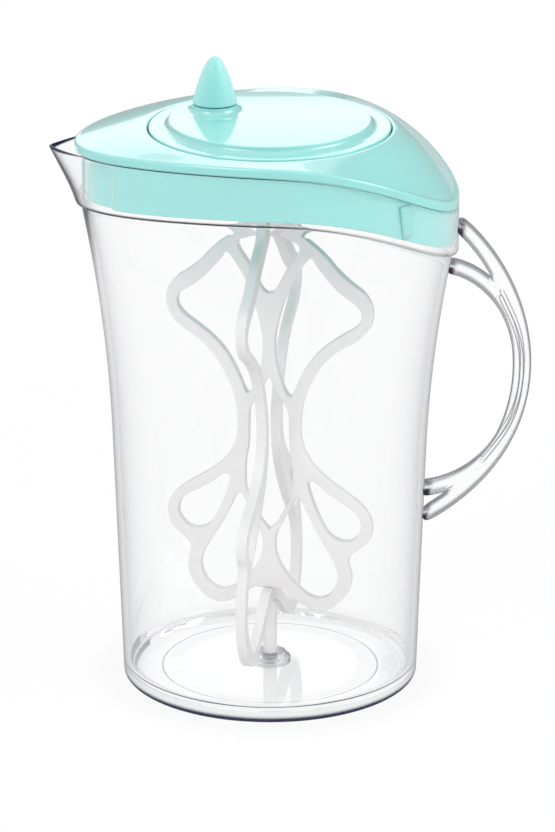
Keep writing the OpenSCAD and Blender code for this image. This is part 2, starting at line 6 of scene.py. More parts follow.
import bmesh
import bpy
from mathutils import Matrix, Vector


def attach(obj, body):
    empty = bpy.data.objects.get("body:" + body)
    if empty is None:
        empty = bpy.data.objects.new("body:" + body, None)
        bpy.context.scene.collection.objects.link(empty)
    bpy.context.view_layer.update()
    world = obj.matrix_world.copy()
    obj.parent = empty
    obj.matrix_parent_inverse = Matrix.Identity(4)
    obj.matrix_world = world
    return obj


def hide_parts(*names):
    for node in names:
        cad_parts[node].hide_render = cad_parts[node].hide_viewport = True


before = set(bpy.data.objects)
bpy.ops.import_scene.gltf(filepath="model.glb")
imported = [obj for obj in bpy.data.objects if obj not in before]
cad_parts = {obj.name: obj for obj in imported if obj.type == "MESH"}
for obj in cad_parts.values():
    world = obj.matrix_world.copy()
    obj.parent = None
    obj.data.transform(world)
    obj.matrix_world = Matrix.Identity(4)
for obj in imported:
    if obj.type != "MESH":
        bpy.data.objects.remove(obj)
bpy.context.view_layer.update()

bl_info = {
    "name": "Mixing pitcher",
    "version": (1, 0, 0),
    "blender": (4, 5, 0),
    "location": "View3D > Sidebar > Pitcher",
    "description": "Dresses a clear mixing pitcher with a mint lid, a crank dial and milky paddles",
    "category": "Object",
}

MM = 0.001
QUARTER = math.pi / 2
AROUND = 224          # columns of a ring that follows the mouth
TURNED_STEPS = 128    # columns of a turned piece
WELD = 0.01 * MM      # points closer than this are one


def size(name, description, millimetres):
    """A length, written in millimetres and kept in metres."""
    return bpy.props.FloatProperty(name=name, description=description, default=millimetres * MM,
                                   unit="LENGTH", precision=5)


def share(name, description, value):
    """A plain number."""
    return bpy.props.FloatProperty(name=name, description=description, default=value, precision=4)


def turn(name, description, degrees):
    """An angle, written in degrees and kept in radians."""
    return bpy.props.FloatProperty(name=name, description=description, default=math.radians(degrees),
                                   unit="ROTATION", precision=4)


def tint(name, description, rgb):
    """A colour."""
    return bpy.props.FloatVectorProperty(name=name, description=description, default=rgb, size=3,
                                         subtype="COLOR", min=0.0, max=1.0)


class PITCHER_PG_jug(bpy.types.PropertyGroup):
    """Sizes of the jug's wall, mouth and pouring lip."""
    base_r: size("Base radius", "Radius of the round base", 55)
    wall: size("Wall", "Thickness of the jug's wall", 2.2)
    collar_t: size("Collar wall", "Thickness of the collar's wall", 1.0)
    floor_t: size("Floor", "Thickness of the floor", 3)
    base_round: size("Base rounding", "Rounding of the bottom edge, outside", 1.5)
    floor_round: size("Floor rounding", "Rounding between floor and wall, inside", 5)
    recess_r: size("Recess radius", "Radius of the shallow recess under the base", 40.5)
    recess_depth: size("Recess depth", "Depth of that recess", 0.3)
    taper_share: share("Taper share", "Share of the widening that is a straight taper", 0.47)
    flare_start: share("Flare start", "Share of the wall's height where the flare begins", 0.525)
    mouth_spout: size("Lip side reach", "From the axis to the rim on the lip side", 71.5)
    mouth_handle: size("Handle side reach", "From the axis to the rim on the handle side", 69.2)
    mouth_w: size("Mouth half width", "Half width of the mouth across the axis", 54)
    mouth_skew: share("Mouth skew", "How much wider the handle half of the mouth is", 0.135)
    rim_mid_z: size("Rim height", "Height of the rim at the middle", 208.2)
    rim_drop: size("Rim drop", "How far the rim swoops down to the handle", 24.3)
    rim_swoop: share("Rim swoop", "Exponent of that swoop", 2.54)
    spout_drop: size("Lip drop", "How far the rim falls towards the lip", 5)
    collar_h: size("Collar height", "Height of the collar at the middle", 18.9)
    collar_slope: share("Collar slope", "Loss of collar height towards the handle", 0.02)
    shoulder_step: size("Shoulder step", "How far the collar stands out from the wall", 2)
    lip_reach: size("Lip reach", "Reach of the pouring lip beyond the rim", 9.5)
    lip_half_w: size("Lip half width", "Half width of the lip where it leaves the rim", 16)
    rim_round: size("Rim rounding", "Height of the rim's rounded edge", 0.8)


class PITCHER_PG_handle(bpy.types.PropertyGroup):
    """Sizes of the forked handle."""
    top_z: size("Upper root", "Height where the upper leg leaves the collar", 178)
    low_z: size("Lowest root", "Height where the lowest leg meets the wall", 62.5)
    top2_z: size("Second upper root", "Height of the second upper leg's root", 161)
    low2_z: size("Second lower root", "Height of the second lower leg's root", 74)
    top_turn: turn("Upper angle", "Angle at which the upper leg falls away", 38.5)
    low_turn: turn("Lower angle", "Angle at which the lowest leg rises", 31)
    top_pull: size("Upper pull", "How long the upper leg keeps its direction", 36.5)
    low_pull: size("Lower pull", "How long the lowest leg keeps its direction", 63.5)
    grip_w: size("Grip width", "Width of the grip in its plane", 6.8)
    leg_w: size("Leg width", "Width of each leg in the same plane", 5)
    depth: size("Depth", "Depth of the handle across the jug", 10)
    sink: size("Sink", "How deep the legs are moulded into the wall", 1.2)
    groove_w: size("Groove width", "Width of the groove along both faces of the grip", 1.5)
    groove_depth: size("Groove depth", "Depth of that groove", 3)


class PITCHER_PG_lid(bpy.types.PropertyGroup):
    """Sizes of the lid's cover and plug."""
    lid_top_z: size("Top height", "Height of the lid's flat top around the dial", 212)
    flange_h: size("Side height", "Height of the lid's side face at the middle", 3.6)
    flange_gain: size("Side gain", "Extra height of the side face at the handle end", 0.8)
    flange_w: size("Flange width", "Width of the flange's underside", 4.6)
    lid_skin: size("Skin", "Thickness of the lid's skin", 2)
    well_r: size("Well radius", "Radius of the round well that holds the dial", 44.55)
    well_wall: size("Well wall", "Wall of that well", 1.6)
    well_depth: size("Well depth", "Depth of that well", 5)
    well_floor: size("Well floor", "Thickness of the well's floor", 1.8)
    well_lip: size("Well lip", "Rounding of the well's upper edge", 0.7)
    sleeve_r: size("Sleeve hole", "Radius of the hole for the bearing sleeve", 7.06)
    edge_round: size("Edge rounding", "Rounding of the lid's upper edge", 1.2)
    dome_fall: share("Dome fall", "Exponent of the fall from the well to the edge", 1.4)
    flange_gap: size("Flange gap", "Gap between the flange and the rim", 0.35)
    plug_t: size("Plug wall", "Wall of the plug inside the collar", 1.6)
    plug_gap: size("Plug gap", "Gap between plug and collar", 0.4)
    plug_lift: size("Plug lift", "Clear band between the plug's lower edge and the shoulder", 1.4)
    plug_rise: size("Plug rise", "How much wider that band is at the handle", 1.8)
    deck_t: size("Deck", "Thickness of the deck at the plug's top", 1.8)
    pour_recess: size("Pour recess", "How far the plug is set back behind the lip", 2.6)
    pour_half_turn: turn("Pour half turn", "Half of the turn over which it is set back", 40)
    pour_blend: turn("Pour blend", "Turn over which the set-back eases in", 4)
    rib_len: size("Rib length", "Length of the wedge ribs on the plug", 12.5)
    rib_top_w: size("Rib top width", "Width of a wedge rib at its top", 8.6)
    rib_low_w: size("Rib bottom width", "Width of a wedge rib at its bottom", 4.6)
    rib_turn: turn("Rib turn", "Turn from the handle at which the ribs sit", 39)


class PITCHER_PG_dial(bpy.types.PropertyGroup):
    """Sizes of the crank dial and its knob."""
    dial_r: size("Dial radius", "Radius of the dial", 44.2)
    top_r: size("Raised radius", "Radius of the raised top", 37)
    top_z: size("Raised height", "Height of the raised top", 215)
    edge_z: size("Ring height", "Height of the outer ring", 212.4)
    low_z: size("Underside height", "Height of the dial's lower edge", 208.15)
    skin: size("Skin", "Thickness of the dial's skin", 2)
    cove_w: size("Cove width", "Width of the hollow cove at the raised top", 2.6)
    rounding: size("Rounding", "Rounding of the dial's edges", 0.5)
    middle_r: size("Middle radius", "Radius of the block over the spindle", 7)
    knob_x: size("Knob across", "Place of the knob towards the handle", -21.161)
    knob_y: size("Knob back", "Place of the knob away from the front", 10.782)
    knob_r: size("Knob radius", "Radius of the knob at its base", 8.3)
    knob_h: size("Knob height", "Height of the knob", 17.4)
    knob_low_z: size("Knob base", "Height of the knob's base", 217.65)
    fullness: share("Knob fullness", "How full the knob's pointed side is", 0.95)
    foot_r: size("Foot radius", "Radius of the knob's foot at its top", 8.5)
    foot_flare: size("Foot flare", "How far the foot spreads on the dial", 2.1)
    foot_h: size("Foot height", "Height of that foot", 2.3)
    bore_r: size("Knob bore", "Radius of the knob's bore", 2.06)
    bore_h: size("Knob bore depth", "Depth of the knob's bore", 10.79)


class PITCHER_PG_finish(bpy.types.PropertyGroup):
    """Colours and finishes."""
    clear: tint("Clear plastic", "Tint of the jug and handle", (0.998, 0.999, 1.0))
    # Painted shade: the jug's colour where a face is seen along itself, standing in for the dark that the
    # clear plastic refracts and mirrors at its edges.
    clear_edge: tint("Clear edge", "Tint of the jug where a face is seen along itself", (0.02, 0.02, 0.1))
    # Painted shade: the colour of the dark lines painted along the sides of the handle's bars and the pivot
    # cup.
    handle_edge: tint("Handle edge", "The same on the thin bars of the handle", (0.16, 0.16, 0.21))
    # Painted shade: colour of the dark lines painted on the jug and of the dark painted where the handle
    # meets the wall.
    clear_dark: tint("Clear dark", "Tint of the dark lines on the clear plastic", (0.002, 0.002, 0.01))
    clear_depth: tint("Clear depth", "Colour of the clear plastic seen along the wall", (0.68, 0.69, 0.76))
    clear_density: share("Clear density", "How soon a long way through the plastic darkens", 7.0)
    mint: tint("Mint plastic", "Colour of the lid, dial and knob", (0.34, 0.80, 0.77))
    milky: tint("Milky plastic", "Colour of the paddles and the drive", (0.91, 0.89, 0.89))
    rubber: tint("Seal rubber", "Colour of the seal and the washer", (0.70, 0.71, 0.72))
    steel: tint("Steel", "Colour of the screw and the pin", (0.62, 0.63, 0.65))


class PITCHER_PG_stage(bpy.types.PropertyGroup):
    """Camera and light."""
    camera_away: size("Camera distance", "Level distance from the axis to the camera", 1773)
    camera_aside: size("Camera aside", "Shift of the camera to its right", 2.78)
    camera_z: size("Camera height", "Height of the camera", 723)
    camera_turn: turn("Camera turn", "Turn of the camera round the pitcher", 5)
    camera_pitch: turn("Camera pitch", "How far the camera looks down", 19.348)
    lens: share("Lens", "Focal length in millimetres", 219.16)
    floor_half: size("Floor half size", "Half of the floor's side", 6000)
    floor_gap: size("Floor gap", "Gap between the base and the floor", 0.2)
    level: share("Light level", "Strength of the surrounding light on the object", 0.72)
    dark_card: share("Dark card", "How dark the room's side behind the camera is, as mirrored", 0.6)
    dark_through: share("Dark through", "How dark that side is, as seen through the plastic", 0.1)
    dark_side: share("Dark side", "How dark the room's low and right far side is, as mirrored", 0.6)


SIZE_GROUPS = {
    "jug": PITCHER_PG_jug,
    "handle": PITCHER_PG_handle,
    "lid": PITCHER_PG_lid,
    "dial": PITCHER_PG_dial,
    "finish": PITCHER_PG_finish,
    "stage": PITCHER_PG_stage,
}


def values(key):
    """The scene's values of one group."""
    return getattr(bpy.context.scene, "pitcher_" + key)


def math_method(operation, swapped=False):
    """A method that adds a Math node to its socket and other terms, which come first when swapped."""
    def method(self, *others):
        terms = (*others, self) if swapped else (self, *others)
        return self.nodes.math(operation, *terms)
    return method


class Socket:
    """An output of a node that takes part in Python expressions."""
    __add__ = math_method("ADD")
    __radd__ = math_method("ADD", swapped=True)
    __sub__ = math_method("SUBTRACT")
    __rsub__ = math_method("SUBTRACT", swapped=True)
    __mul__ = math_method("MULTIPLY")
    __rmul__ = math_method("MULTIPLY", swapped=True)
    __truediv__ = math_method("DIVIDE")
    __pow__ = math_method("POWER")
    __rpow__ = math_method("POWER", swapped=True)
    __abs__ = math_method("ABSOLUTE")
    above = math_method("GREATER_THAN")  # 1 where the value is greater than a level, else 0
    least = math_method("MINIMUM")
    most = math_method("MAXIMUM")
    sin = math_method("SINE")
    cos = math_method("COSINE")

    def __init__(self, nodes, socket):
        self.nodes = nodes
        self.socket = socket

    def out(self, name):
        """Another output of the same node."""
        return Socket(self.nodes, self.socket.node.outputs[name])

    def root(self):
        return self.nodes.math("SQRT", self.most(0.0))

    def squared_off(self, exponent):
        """The value's size raised to a power, with its sign kept."""
        return self.nodes.math("SIGN", self) * abs(self) ** exponent

    def ease(self):
        """Smooth step of a value from 0 to 1."""
        held = self.most(0.0).least(1.0)
        return held * held * (3.0 - 2.0 * held)

    def rise(self, start, width):
        """0 up to a start, then smoothly up to 1 over a width."""
        return ((self - start) / width).ease()

    def fall(self, start, width):
        """1 up to a start, then smoothly down to 0 over a width."""
        return 1.0 - self.rise(start, width)


def mix(low, high, part):
    """Value at a share of the way from low to high."""
    return low + (high - low) * part


class Nodes:
    """A node tree that is built from expressions."""

    def __init__(self, tree):
        self.tree = tree

    def add(self, kind, inputs=None, output=0, **settings):
        """Adds a node with its settings and then its inputs, and gives one of its outputs."""
        node = self.tree.nodes.new(kind)
        for name, value in settings.items():
            setattr(node, name, value)
        for key, value in (inputs or {}).items():
            self.plug(node.inputs[key], value)
        return Socket(self, node.outputs[output])

    def plug(self, entry, value):
        """Links one output or several into an entry, or sets its value."""
        if isinstance(value, list):
            for one in value:
                self.tree.links.new(one.socket, entry)
        elif isinstance(value, Socket):
            self.tree.links.new(value.socket, entry)
        else:
            entry.default_value = value

    def math(self, operation, *terms):
        return self.add("ShaderNodeMath", dict(enumerate(terms)), operation=operation)

    def vector(self, x, y, z):
        return self.add("ShaderNodeCombineXYZ", {0: x, 1: y, 2: z})

    def parts(self, vector):
        """The X, Y and Z of a vector."""
        split = self.add("ShaderNodeSeparateXYZ", {0: vector})
        return split, split.out("Y"), split.out("Z")


def linked(name, data):
    """A new object in the scene."""
    new = bpy.data.objects.new(name, data)
    bpy.context.scene.collection.objects.link(new)
    return new


def applied(source):
    """The mesh of an object with its modifiers applied. The object itself is removed."""
    mesh = bpy.data.meshes.new_from_object(source.evaluated_get(bpy.context.evaluated_depsgraph_get()))
    bpy.data.objects.remove(source)
    return mesh


def piece_from(name, mesh, material):
    """An object at the origin with one mesh and one material."""
    mesh.name = name
    mesh.materials.clear()
    mesh.materials.append(material)
    return linked(name, mesh)


class Loft:
    """A Geometry Nodes tree that lays rings of points by a rule and joins them into one skin."""

    def __init__(self, name, keys, around=AROUND):
        self.nodes = Nodes(bpy.data.node_groups.new(name, "GeometryNodeTree"))
        self.around = around
        self.bands = []
        self.preset = {}
        face = self.nodes.tree.interface
        entry = self.nodes.tree.nodes.new("NodeGroupInput")
        found = {}
        for key in keys:
            for field in SIZE_GROUPS[key].__annotations__:
                label = SIZE_GROUPS[key].bl_rna.properties[field].name
                socket = face.new_socket(name=label, in_out="INPUT", socket_type="NodeSocketFloat")
                self.preset[socket.identifier] = getattr(values(key), field)
                found[field] = Socket(self.nodes, entry.outputs[len(found)])
        self.sizes = SimpleNamespace(**found)
        across, along, _ = self.nodes.parts(self.nodes.add("GeometryNodeInputPosition"))
        self.u = across + 0.5
        self.v = along + 0.5

    def band(self, rows, x, y, z):
        """A strip of rings: u runs round it and v from its first ring to its last."""
        grid = self.nodes.add("GeometryNodeMeshGrid", {
            "Size X": 1.0, "Size Y": 1.0, "Vertices X": self.around + 1, "Vertices Y": rows + 1})
        self.bands.append(self.nodes.add("GeometryNodeSetPosition", {
            "Geometry": grid, "Position": self.nodes.vector(x, y, z)}))

    def welded(self, geometry):
        return self.nodes.add("GeometryNodeMergeByDistance", {"Geometry": geometry, "Distance": WELD})

    def joined(self):
        """All the strips as one welded skin."""
        return self.welded(self.nodes.add("GeometryNodeJoinGeometry", {0: self.bands}))

    def grow(self, name, skin, material):
        """Evaluates the tree with its inputs set and keeps the result as a plain mesh."""
        nodes = self.nodes
        real = nodes.add("GeometryNodeRealizeInstances", {0: skin})
        smooth = nodes.add("GeometryNodeSetShadeSmooth", {"Geometry": real, "Shade Smooth": True})
        painted = nodes.add("GeometryNodeSetMaterial", {"Geometry": smooth, "Material": material})
        nodes.tree.interface.new_socket(name="Geometry", in_out="OUTPUT", socket_type="NodeSocketGeometry")
        nodes.plug(nodes.tree.nodes.new("NodeGroupOutput").inputs[0], painted)
        seed = linked(name + "_seed", bpy.data.meshes.new(name + "_seed"))
        modifier = seed.modifiers.new("Shape", "NODES")
        modifier.node_group = nodes.tree
        for identifier, value in self.preset.items():
            modifier[identifier] = value
        mesh = applied(seed)
        if not mesh.polygons:
            raise RuntimeError(name + ": its tree made no faces")
        return piece_from(name, mesh, material)


def widening(p, rise):
    """How far the wall has widened from base to mouth, at a share of its height."""
    late = (rise - p.flare_start).most(0.0) / (1.0 - p.flare_start)
    return p.taper_share * rise + (1.0 - p.taper_share) * late * late


BUNCHING = math.radians(12.9)  # how much closer the columns stand at the lip and at the handle
LIP_SOFT = 0.6 * MM            # rounding of the crease in the pouring lip


class MouthLoft(Loft):
    """A loft whose rings follow the pitcher's mouth: round at the base, drawn out to lip and handle."""

    def __init__(self, name, keys):
        super().__init__(name, keys)
        p = self.sizes
        even = self.u * math.tau
        self.t = even - BUNCHING * (even * 2.0).sin()
        self.c = self.t.cos()
        self.s = self.t.sin()
        on_handle = self.c.above(0.0)
        self.reach = mix(p.mouth_spout, p.mouth_handle, on_handle)
        swoop = abs(self.c) ** p.rim_swoop * on_handle
        lip_fall = p.spout_drop * self.c * self.c * (1.0 - on_handle)
        self.rim = p.rim_mid_z - p.rim_drop * swoop - lip_fall
        self.shoulder = self.rim - p.collar_h + p.collar_slope * self.reach * self.c
        self.collar_low = self.shoulder + p.shoulder_step * 0.5
        self.handle_side = on_handle * self.c * self.c

    def mouth(self, inset):
        """Outline of the mouth, drawn in by an inset."""
        p = self.sizes
        return (self.reach - inset) * self.c, (p.mouth_w - inset) * self.s * (1.0 + p.mouth_skew * self.c)

    def wall(self, z, inset):
        """Wall below the shoulder: a circle at the base that flares into the mouth's outline."""
        p = self.sizes
        part = widening(p, (z / self.shoulder).least(1.0))
        x, y = self.mouth(p.shoulder_step + inset)
        round_r = p.base_r - inset
        return mix(round_r * self.c, x, part), mix(round_r * self.s, y, part)

    def collar(self, rise, inset):
        """Collar above the shoulder, with the pouring lip growing towards the rim."""
        p = self.sizes
        x, y = self.mouth(inset)
        aside = (y * y + LIP_SOFT * LIP_SOFT).root() - LIP_SOFT
        lip = (1.0 - aside / p.lip_half_w).most(0.0) * (0.0 - self.c).above(0.0)
        return x - p.lip_reach * rise * lip, y


RECESS_SOFT = 8 * MM    # width of the soft step of the recess under the base


def jug_shape(material):
    """Closed skin of the jug, from the middle of its underside up the outside and down the inside."""
    loft = MouthLoft("jug_shape", ["jug"])
    p, v, c, s = loft.sizes, loft.v, loft.c, loft.s
    step = v.ease()

    r = (p.recess_r - RECESS_SOFT) * v
    loft.band(8, r * c, r * s, p.recess_depth)
    r = p.recess_r - RECESS_SOFT * (1.0 - v)
    loft.band(8, r * c, r * s, p.recess_depth * (1.0 - step))
    r = mix(p.recess_r, p.base_r - p.base_round, v)
    loft.band(4, r * c, r * s, 0.0)

    a = v * QUARTER
    z = p.base_round * (1.0 - a.cos())
    loft.band(8, *loft.wall(z, p.base_round * (1.0 - a.sin())), z)
    z = mix(p.base_round, loft.shoulder, v)
    loft.band(64, *loft.wall(z, 0.0), z)
    loft.band(8, *loft.mouth(p.shoulder_step * (1.0 - step)), mix(loft.shoulder, loft.collar_low, v))
    top = loft.rim - p.rim_round
    loft.band(16, *loft.collar(v, 0.0), mix(loft.collar_low, top, v))

    a = v * math.pi
    loft.band(10, *loft.collar(1.0, p.collar_t * 0.5 * (1.0 - a.cos())), top + p.rim_round * a.sin())
    loft.band(16, *loft.collar(1.0 - v, p.collar_t), mix(top, loft.collar_low, v))
    inset = mix(p.collar_t, p.wall + p.shoulder_step, step)
    loft.band(8, *loft.mouth(inset), mix(loft.collar_low, loft.shoulder, v))
    z = mix(loft.shoulder, p.floor_t + p.floor_round, v)
    loft.band(64, *loft.wall(z, p.wall), z)

    a = (1.0 - v) * QUARTER
    z = p.floor_t + p.floor_round * (1.0 - a.cos())
    loft.band(10, *loft.wall(z, p.wall + p.floor_round * (1.0 - a.sin())), z)
    x, y = loft.wall(p.floor_t, p.wall + p.floor_round)
    loft.band(10, x * (1.0 - v), y * (1.0 - v), p.floor_t)
    return loft.grow("jug", loft.joined(), material)


INNER_SHARE = 0.88      # share of the way to the edge where the skin's underside turns down


def lid_cover_shape(material):
    """Closed skin of the lid's cover: out along its underside, up the edge, over the top, down the well."""
    loft = MouthLoft("lid_cover_shape", ["jug", "lid"])
    p, v, c, s = loft.sizes, loft.v, loft.c, loft.s
    well_mid = p.well_r + p.well_wall * 0.5
    well_z = p.lid_top_z - p.well_depth
    floor_z = well_z - p.well_floor
    edge = loft.rim + p.flange_h + p.flange_gain * loft.handle_side
    flange = loft.rim + p.flange_gap

    def across(part, inset, drop):
        x, y = loft.mouth(inset)
        z = mix(p.lid_top_z, edge, part ** p.dome_fall) - drop
        return mix(well_mid * c, x, part), mix(well_mid * s, y, part), z

    def ring(rows, r, z):
        loft.band(rows, r * c, r * s, z)

    ring(6, mix(p.sleeve_r, well_mid, v), floor_z)
    ring(4, well_mid, mix(floor_z, p.lid_top_z - p.lid_skin, v))
    loft.band(14, *across(INNER_SHARE * v, p.flange_w, p.lid_skin))
    x0, y0, z0 = across(INNER_SHARE, p.flange_w, p.lid_skin)
    x1, y1 = loft.mouth(p.flange_w)
    loft.band(3, mix(x0, x1, v), mix(y0, y1, v), mix(z0, flange, v))
    loft.band(3, *loft.mouth(p.flange_w * (1.0 - v)), flange)
    loft.band(5, *loft.mouth(0.0), mix(flange, edge - p.edge_round, v))
    a = v * QUARTER
    loft.band(6, *loft.mouth(p.edge_round * (1.0 - a.cos())), edge - p.edge_round * (1.0 - a.sin()))
    loft.band(28, *across(1.0 - v, p.edge_round, 0.0))
    ring(6, mix(well_mid, p.well_r, a.sin()), p.lid_top_z - p.well_lip * (1.0 - a.cos()))
    ring(4, p.well_r, mix(p.lid_top_z - p.well_lip, well_z, v))
    ring(6, mix(p.well_r, p.sleeve_r, v), well_z)
    ring(2, p.sleeve_r, mix(well_z, floor_z, v))
    return loft.grow("lid_cover_skin", loft.joined(), material)


DECK_RISE = 1 * MM      # how far the deck may stand above the well's floor


def lid_plug_shape(material):
    """The plug inside the collar, set back behind the lip, with a wedge rib on each side of the handle."""
    loft = MouthLoft("lid_plug_shape", ["jug", "lid"])
    nodes, p, v, c, s = loft.nodes, loft.sizes, loft.v, loft.c, loft.s
    back = ((p.pour_half_turn - abs(loft.t - math.pi)) / p.pour_blend).ease()
    inset = p.collar_t + p.plug_gap + p.pour_recess * back
    low = loft.collar_low + p.plug_lift + p.plug_rise * loft.handle_side
    top = loft.rim + p.flange_gap
    hole = p.well_r + p.well_wall
    deck = top.least(p.lid_top_z - p.well_depth + DECK_RISE)
    half = p.plug_t * 0.5
    x, y = loft.mouth(inset)
    loft.band(14, x, y, mix(low + half, top, v))
    loft.band(12, mix(x, hole * c, v), mix(y, hole * s, v), mix(top, deck, v))
    loft.band(2, hole * c, hole * s, deck - p.deck_t * v)
    x, y = loft.mouth(inset + p.plug_t)
    loft.band(12, mix(hole * c, x, v), mix(hole * s, y, v), mix(deck, top, v) - p.deck_t)
    loft.band(14, x, y, mix(top - p.deck_t, low + half, v))
    a = v * math.pi
    loft.band(8, *loft.mouth(inset + half * (1.0 + a.cos())), low + half * (1.0 - a.sin()))
    ribs = [wedge_rib(loft, side) for side in (1.0, -1.0)]
    whole = nodes.add("GeometryNodeJoinGeometry", {0: [loft.joined(), *ribs]})
    return loft.grow("lid_plug_skin", whole, material)


RIB_DEPTH = 2.4         # depth of a rib's block, in gaps between plug and collar
RIB_SUNK = 0.25         # share of that depth by which its middle is sunk into the plug


def wedge_rib(loft, side):
    """One tapered rib on the plug's outside, on one side of the handle."""
    nodes, p = loft.nodes, loft.sizes
    across, along = p.rib_turn.cos(), p.rib_turn.sin()
    inset = p.collar_t + p.plug_gap
    x = (p.mouth_handle - inset) * across
    y = (p.mouth_w - inset) * along * (1.0 + p.mouth_skew * across)
    z = p.rim_mid_z - p.rim_drop * across ** p.rim_swoop + p.flange_gap - DECK_RISE
    facing = nodes.math("ARCTAN2", p.mouth_w * along, p.mouth_handle * across) - QUARTER
    block = nodes.add("GeometryNodeMeshCube", {
        "Size": (1.0, 1.0, 1.0), "Vertices X": 4, "Vertices Y": 3, "Vertices Z": 8})
    wide, deep, high = nodes.parts(nodes.add("GeometryNodeInputPosition"))
    width = mix(p.rib_low_w, p.rib_top_w, high + 0.5)
    shaped = nodes.add("GeometryNodeSetPosition", {"Geometry": block, "Position": nodes.vector(
        wide * width, (deep - RIB_SUNK) * p.plug_gap * RIB_DEPTH, (high - 0.5) * p.rib_len)})
    return nodes.add("GeometryNodeTransform", {
        "Geometry": shaped, "Translation": nodes.vector(x, y * side, z),
        "Rotation": nodes.vector(0.0, 0.0, facing * side + (0.0 if side > 0 else math.pi))})


BAR_AROUND = 48         # columns of a bar of the handle
GRIP_ROWS = 120         # rings of the grip and of its grooves
LEG_ROWS = 60           # rings of a second leg
END_FALL = 60.0         # how abruptly a bar closes at its ends
SQUARENESS = 0.6        # how square a bar's section is
JOIN_TOP = 0.52         # share of the grip where the second upper leg runs in
JOIN_LOW = 0.7          # share of the grip where the second lower leg runs in
PULL_TOP = 26 * MM      # how gently the upper one runs in
PULL_LOW = 15 * MM      # how gently the lower one runs in
JOIN_SHARE = 0.8        # share of the way to the grip's inner side where they end
LEG_LEAD = 12 * MM      # how far they leave the wall before they turn
LEG_SLANT = 1 * MM      # how far they have turned by then
GROOVE_TOP = 0.27       # share of the grip where the groove begins
GROOVE_LOW = 0.81       # share of the grip where it ends
HANDLE_FACE = 0.4 * MM  # size of the even faces that the fused handle is laid out in
HANDLE_PASSES = 40      # how often these are smoothed


def handle_shape(material):
    """Grip and two pairs of legs, swept along curves and fused into one moulded bar."""
    loft = Loft("handle_shape", ["jug", "handle"], BAR_AROUND)
    nodes, p, v = loft.nodes, loft.sizes, loft.v

    def wall_x(z):
        shoulder = p.rim_mid_z - p.rim_drop - p.collar_h + p.collar_slope * p.mouth_handle
        part = widening(p, (z / shoulder).least(1.0))
        return mix(p.base_r, p.mouth_handle - p.shoulder_step, part) - p.sink

    def bezier(points, at):
        b = 1.0 - at
        weights = b * b * b, 3.0 * b * b * at, 3.0 * b * at * at, at * at * at
        return tuple(sum(w * q[i] for w, q in zip(weights, points)) for i in (0, 1))

    def direction(points, at):
        b = 1.0 - at
        weights = b * b, 2.0 * b * at, at * at
        d = [sum(w * (points[k + 1][i] - points[k][i]) for k, w in enumerate(weights)) for i in (0, 1)]
        long = (d[0] * d[0] + d[1] * d[1]).root()
        return d[0] / long, d[1] / long

    def bar(points, rows, width, depth, at=v, out=0.0, aside=0.0):
        x, z = bezier(points, at)
        dx, dz = direction(points, at)
        a = loft.u * math.tau
        closing = (1.0 - abs(v * 2.0 - 1.0) ** END_FALL).root()
        q = a.cos().squared_off(SQUARENESS) * width * 0.5 * closing + out
        y = a.sin().squared_off(SQUARENESS) * depth * -0.5 * closing + aside
        loft.band(rows, x - dz * q, y, z + dx * q)

    def swelling(sine):
        return mix(p.leg_w, p.grip_w, sine * sine)

    top = p.mouth_handle - p.sink, p.top_z
    low = wall_x(p.low_z), p.low_z
    grip = [top, (top[0] + p.top_pull * p.top_turn.cos(), top[1] - p.top_pull * p.top_turn.sin()),
            (low[0] + p.low_pull * p.low_turn.cos(), low[1] + p.low_pull * p.low_turn.sin()), low]
    bar(grip, GRIP_ROWS, swelling((v * math.pi).sin()), p.depth)
    legs = (p.top2_z, JOIN_TOP, PULL_TOP, -1.0), (p.low2_z, JOIN_LOW, PULL_LOW, 1.0)
    for root_z, join, pull, way in legs:
        root_x = wall_x(root_z)
        jx, jz = bezier(grip, join)
        dx, dz = direction(grip, join)
        inward = JOIN_SHARE * 0.5 * (swelling(math.sin(join * math.pi)) - p.leg_w)
        end_x, end_z = jx + inward * dz, jz - inward * dx
        bar([(root_x, root_z), (root_x + LEG_LEAD, root_z + way * LEG_SLANT),
             (end_x + way * pull * dx, end_z + way * pull * dz), (end_x, end_z)], LEG_ROWS, p.leg_w, p.depth)
    bend = (v * math.pi).cos()
    for side in (-0.5, 0.5):
        bar(grip, GRIP_ROWS, p.groove_w, p.groove_depth * 2.0, mix(GROOVE_TOP, GROOVE_LOW, v),
            p.leg_w * -0.5 * bend * bend * bend * bend, p.depth * side)
    bars = [loft.welded(band) for band in loft.bands]
    fused = nodes.add("GeometryNodeMeshBoolean", {"Mesh 2": bars[:3]}, operation="UNION", solver="EXACT")
    grooved = nodes.add("GeometryNodeMeshBoolean", {"Mesh 1": fused, "Mesh 2": bars[3:]},
                        operation="DIFFERENCE", solver="EXACT")
    sharp = loft.grow("handle_sharp", grooved, material)
    even = sharp.modifiers.new("Even faces", "REMESH")
    even.mode = "VOXEL"
    even.voxel_size = HANDLE_FACE
    even.use_smooth_shade = True
    soft = sharp.modifiers.new("Rounded edges", "SMOOTH")
    soft.iterations = HANDLE_PASSES
    return piece_from("handle", applied(sharp), material)


SHARP_TURN = math.radians(35)  # a turned piece's edges that turn further than this stay crisp


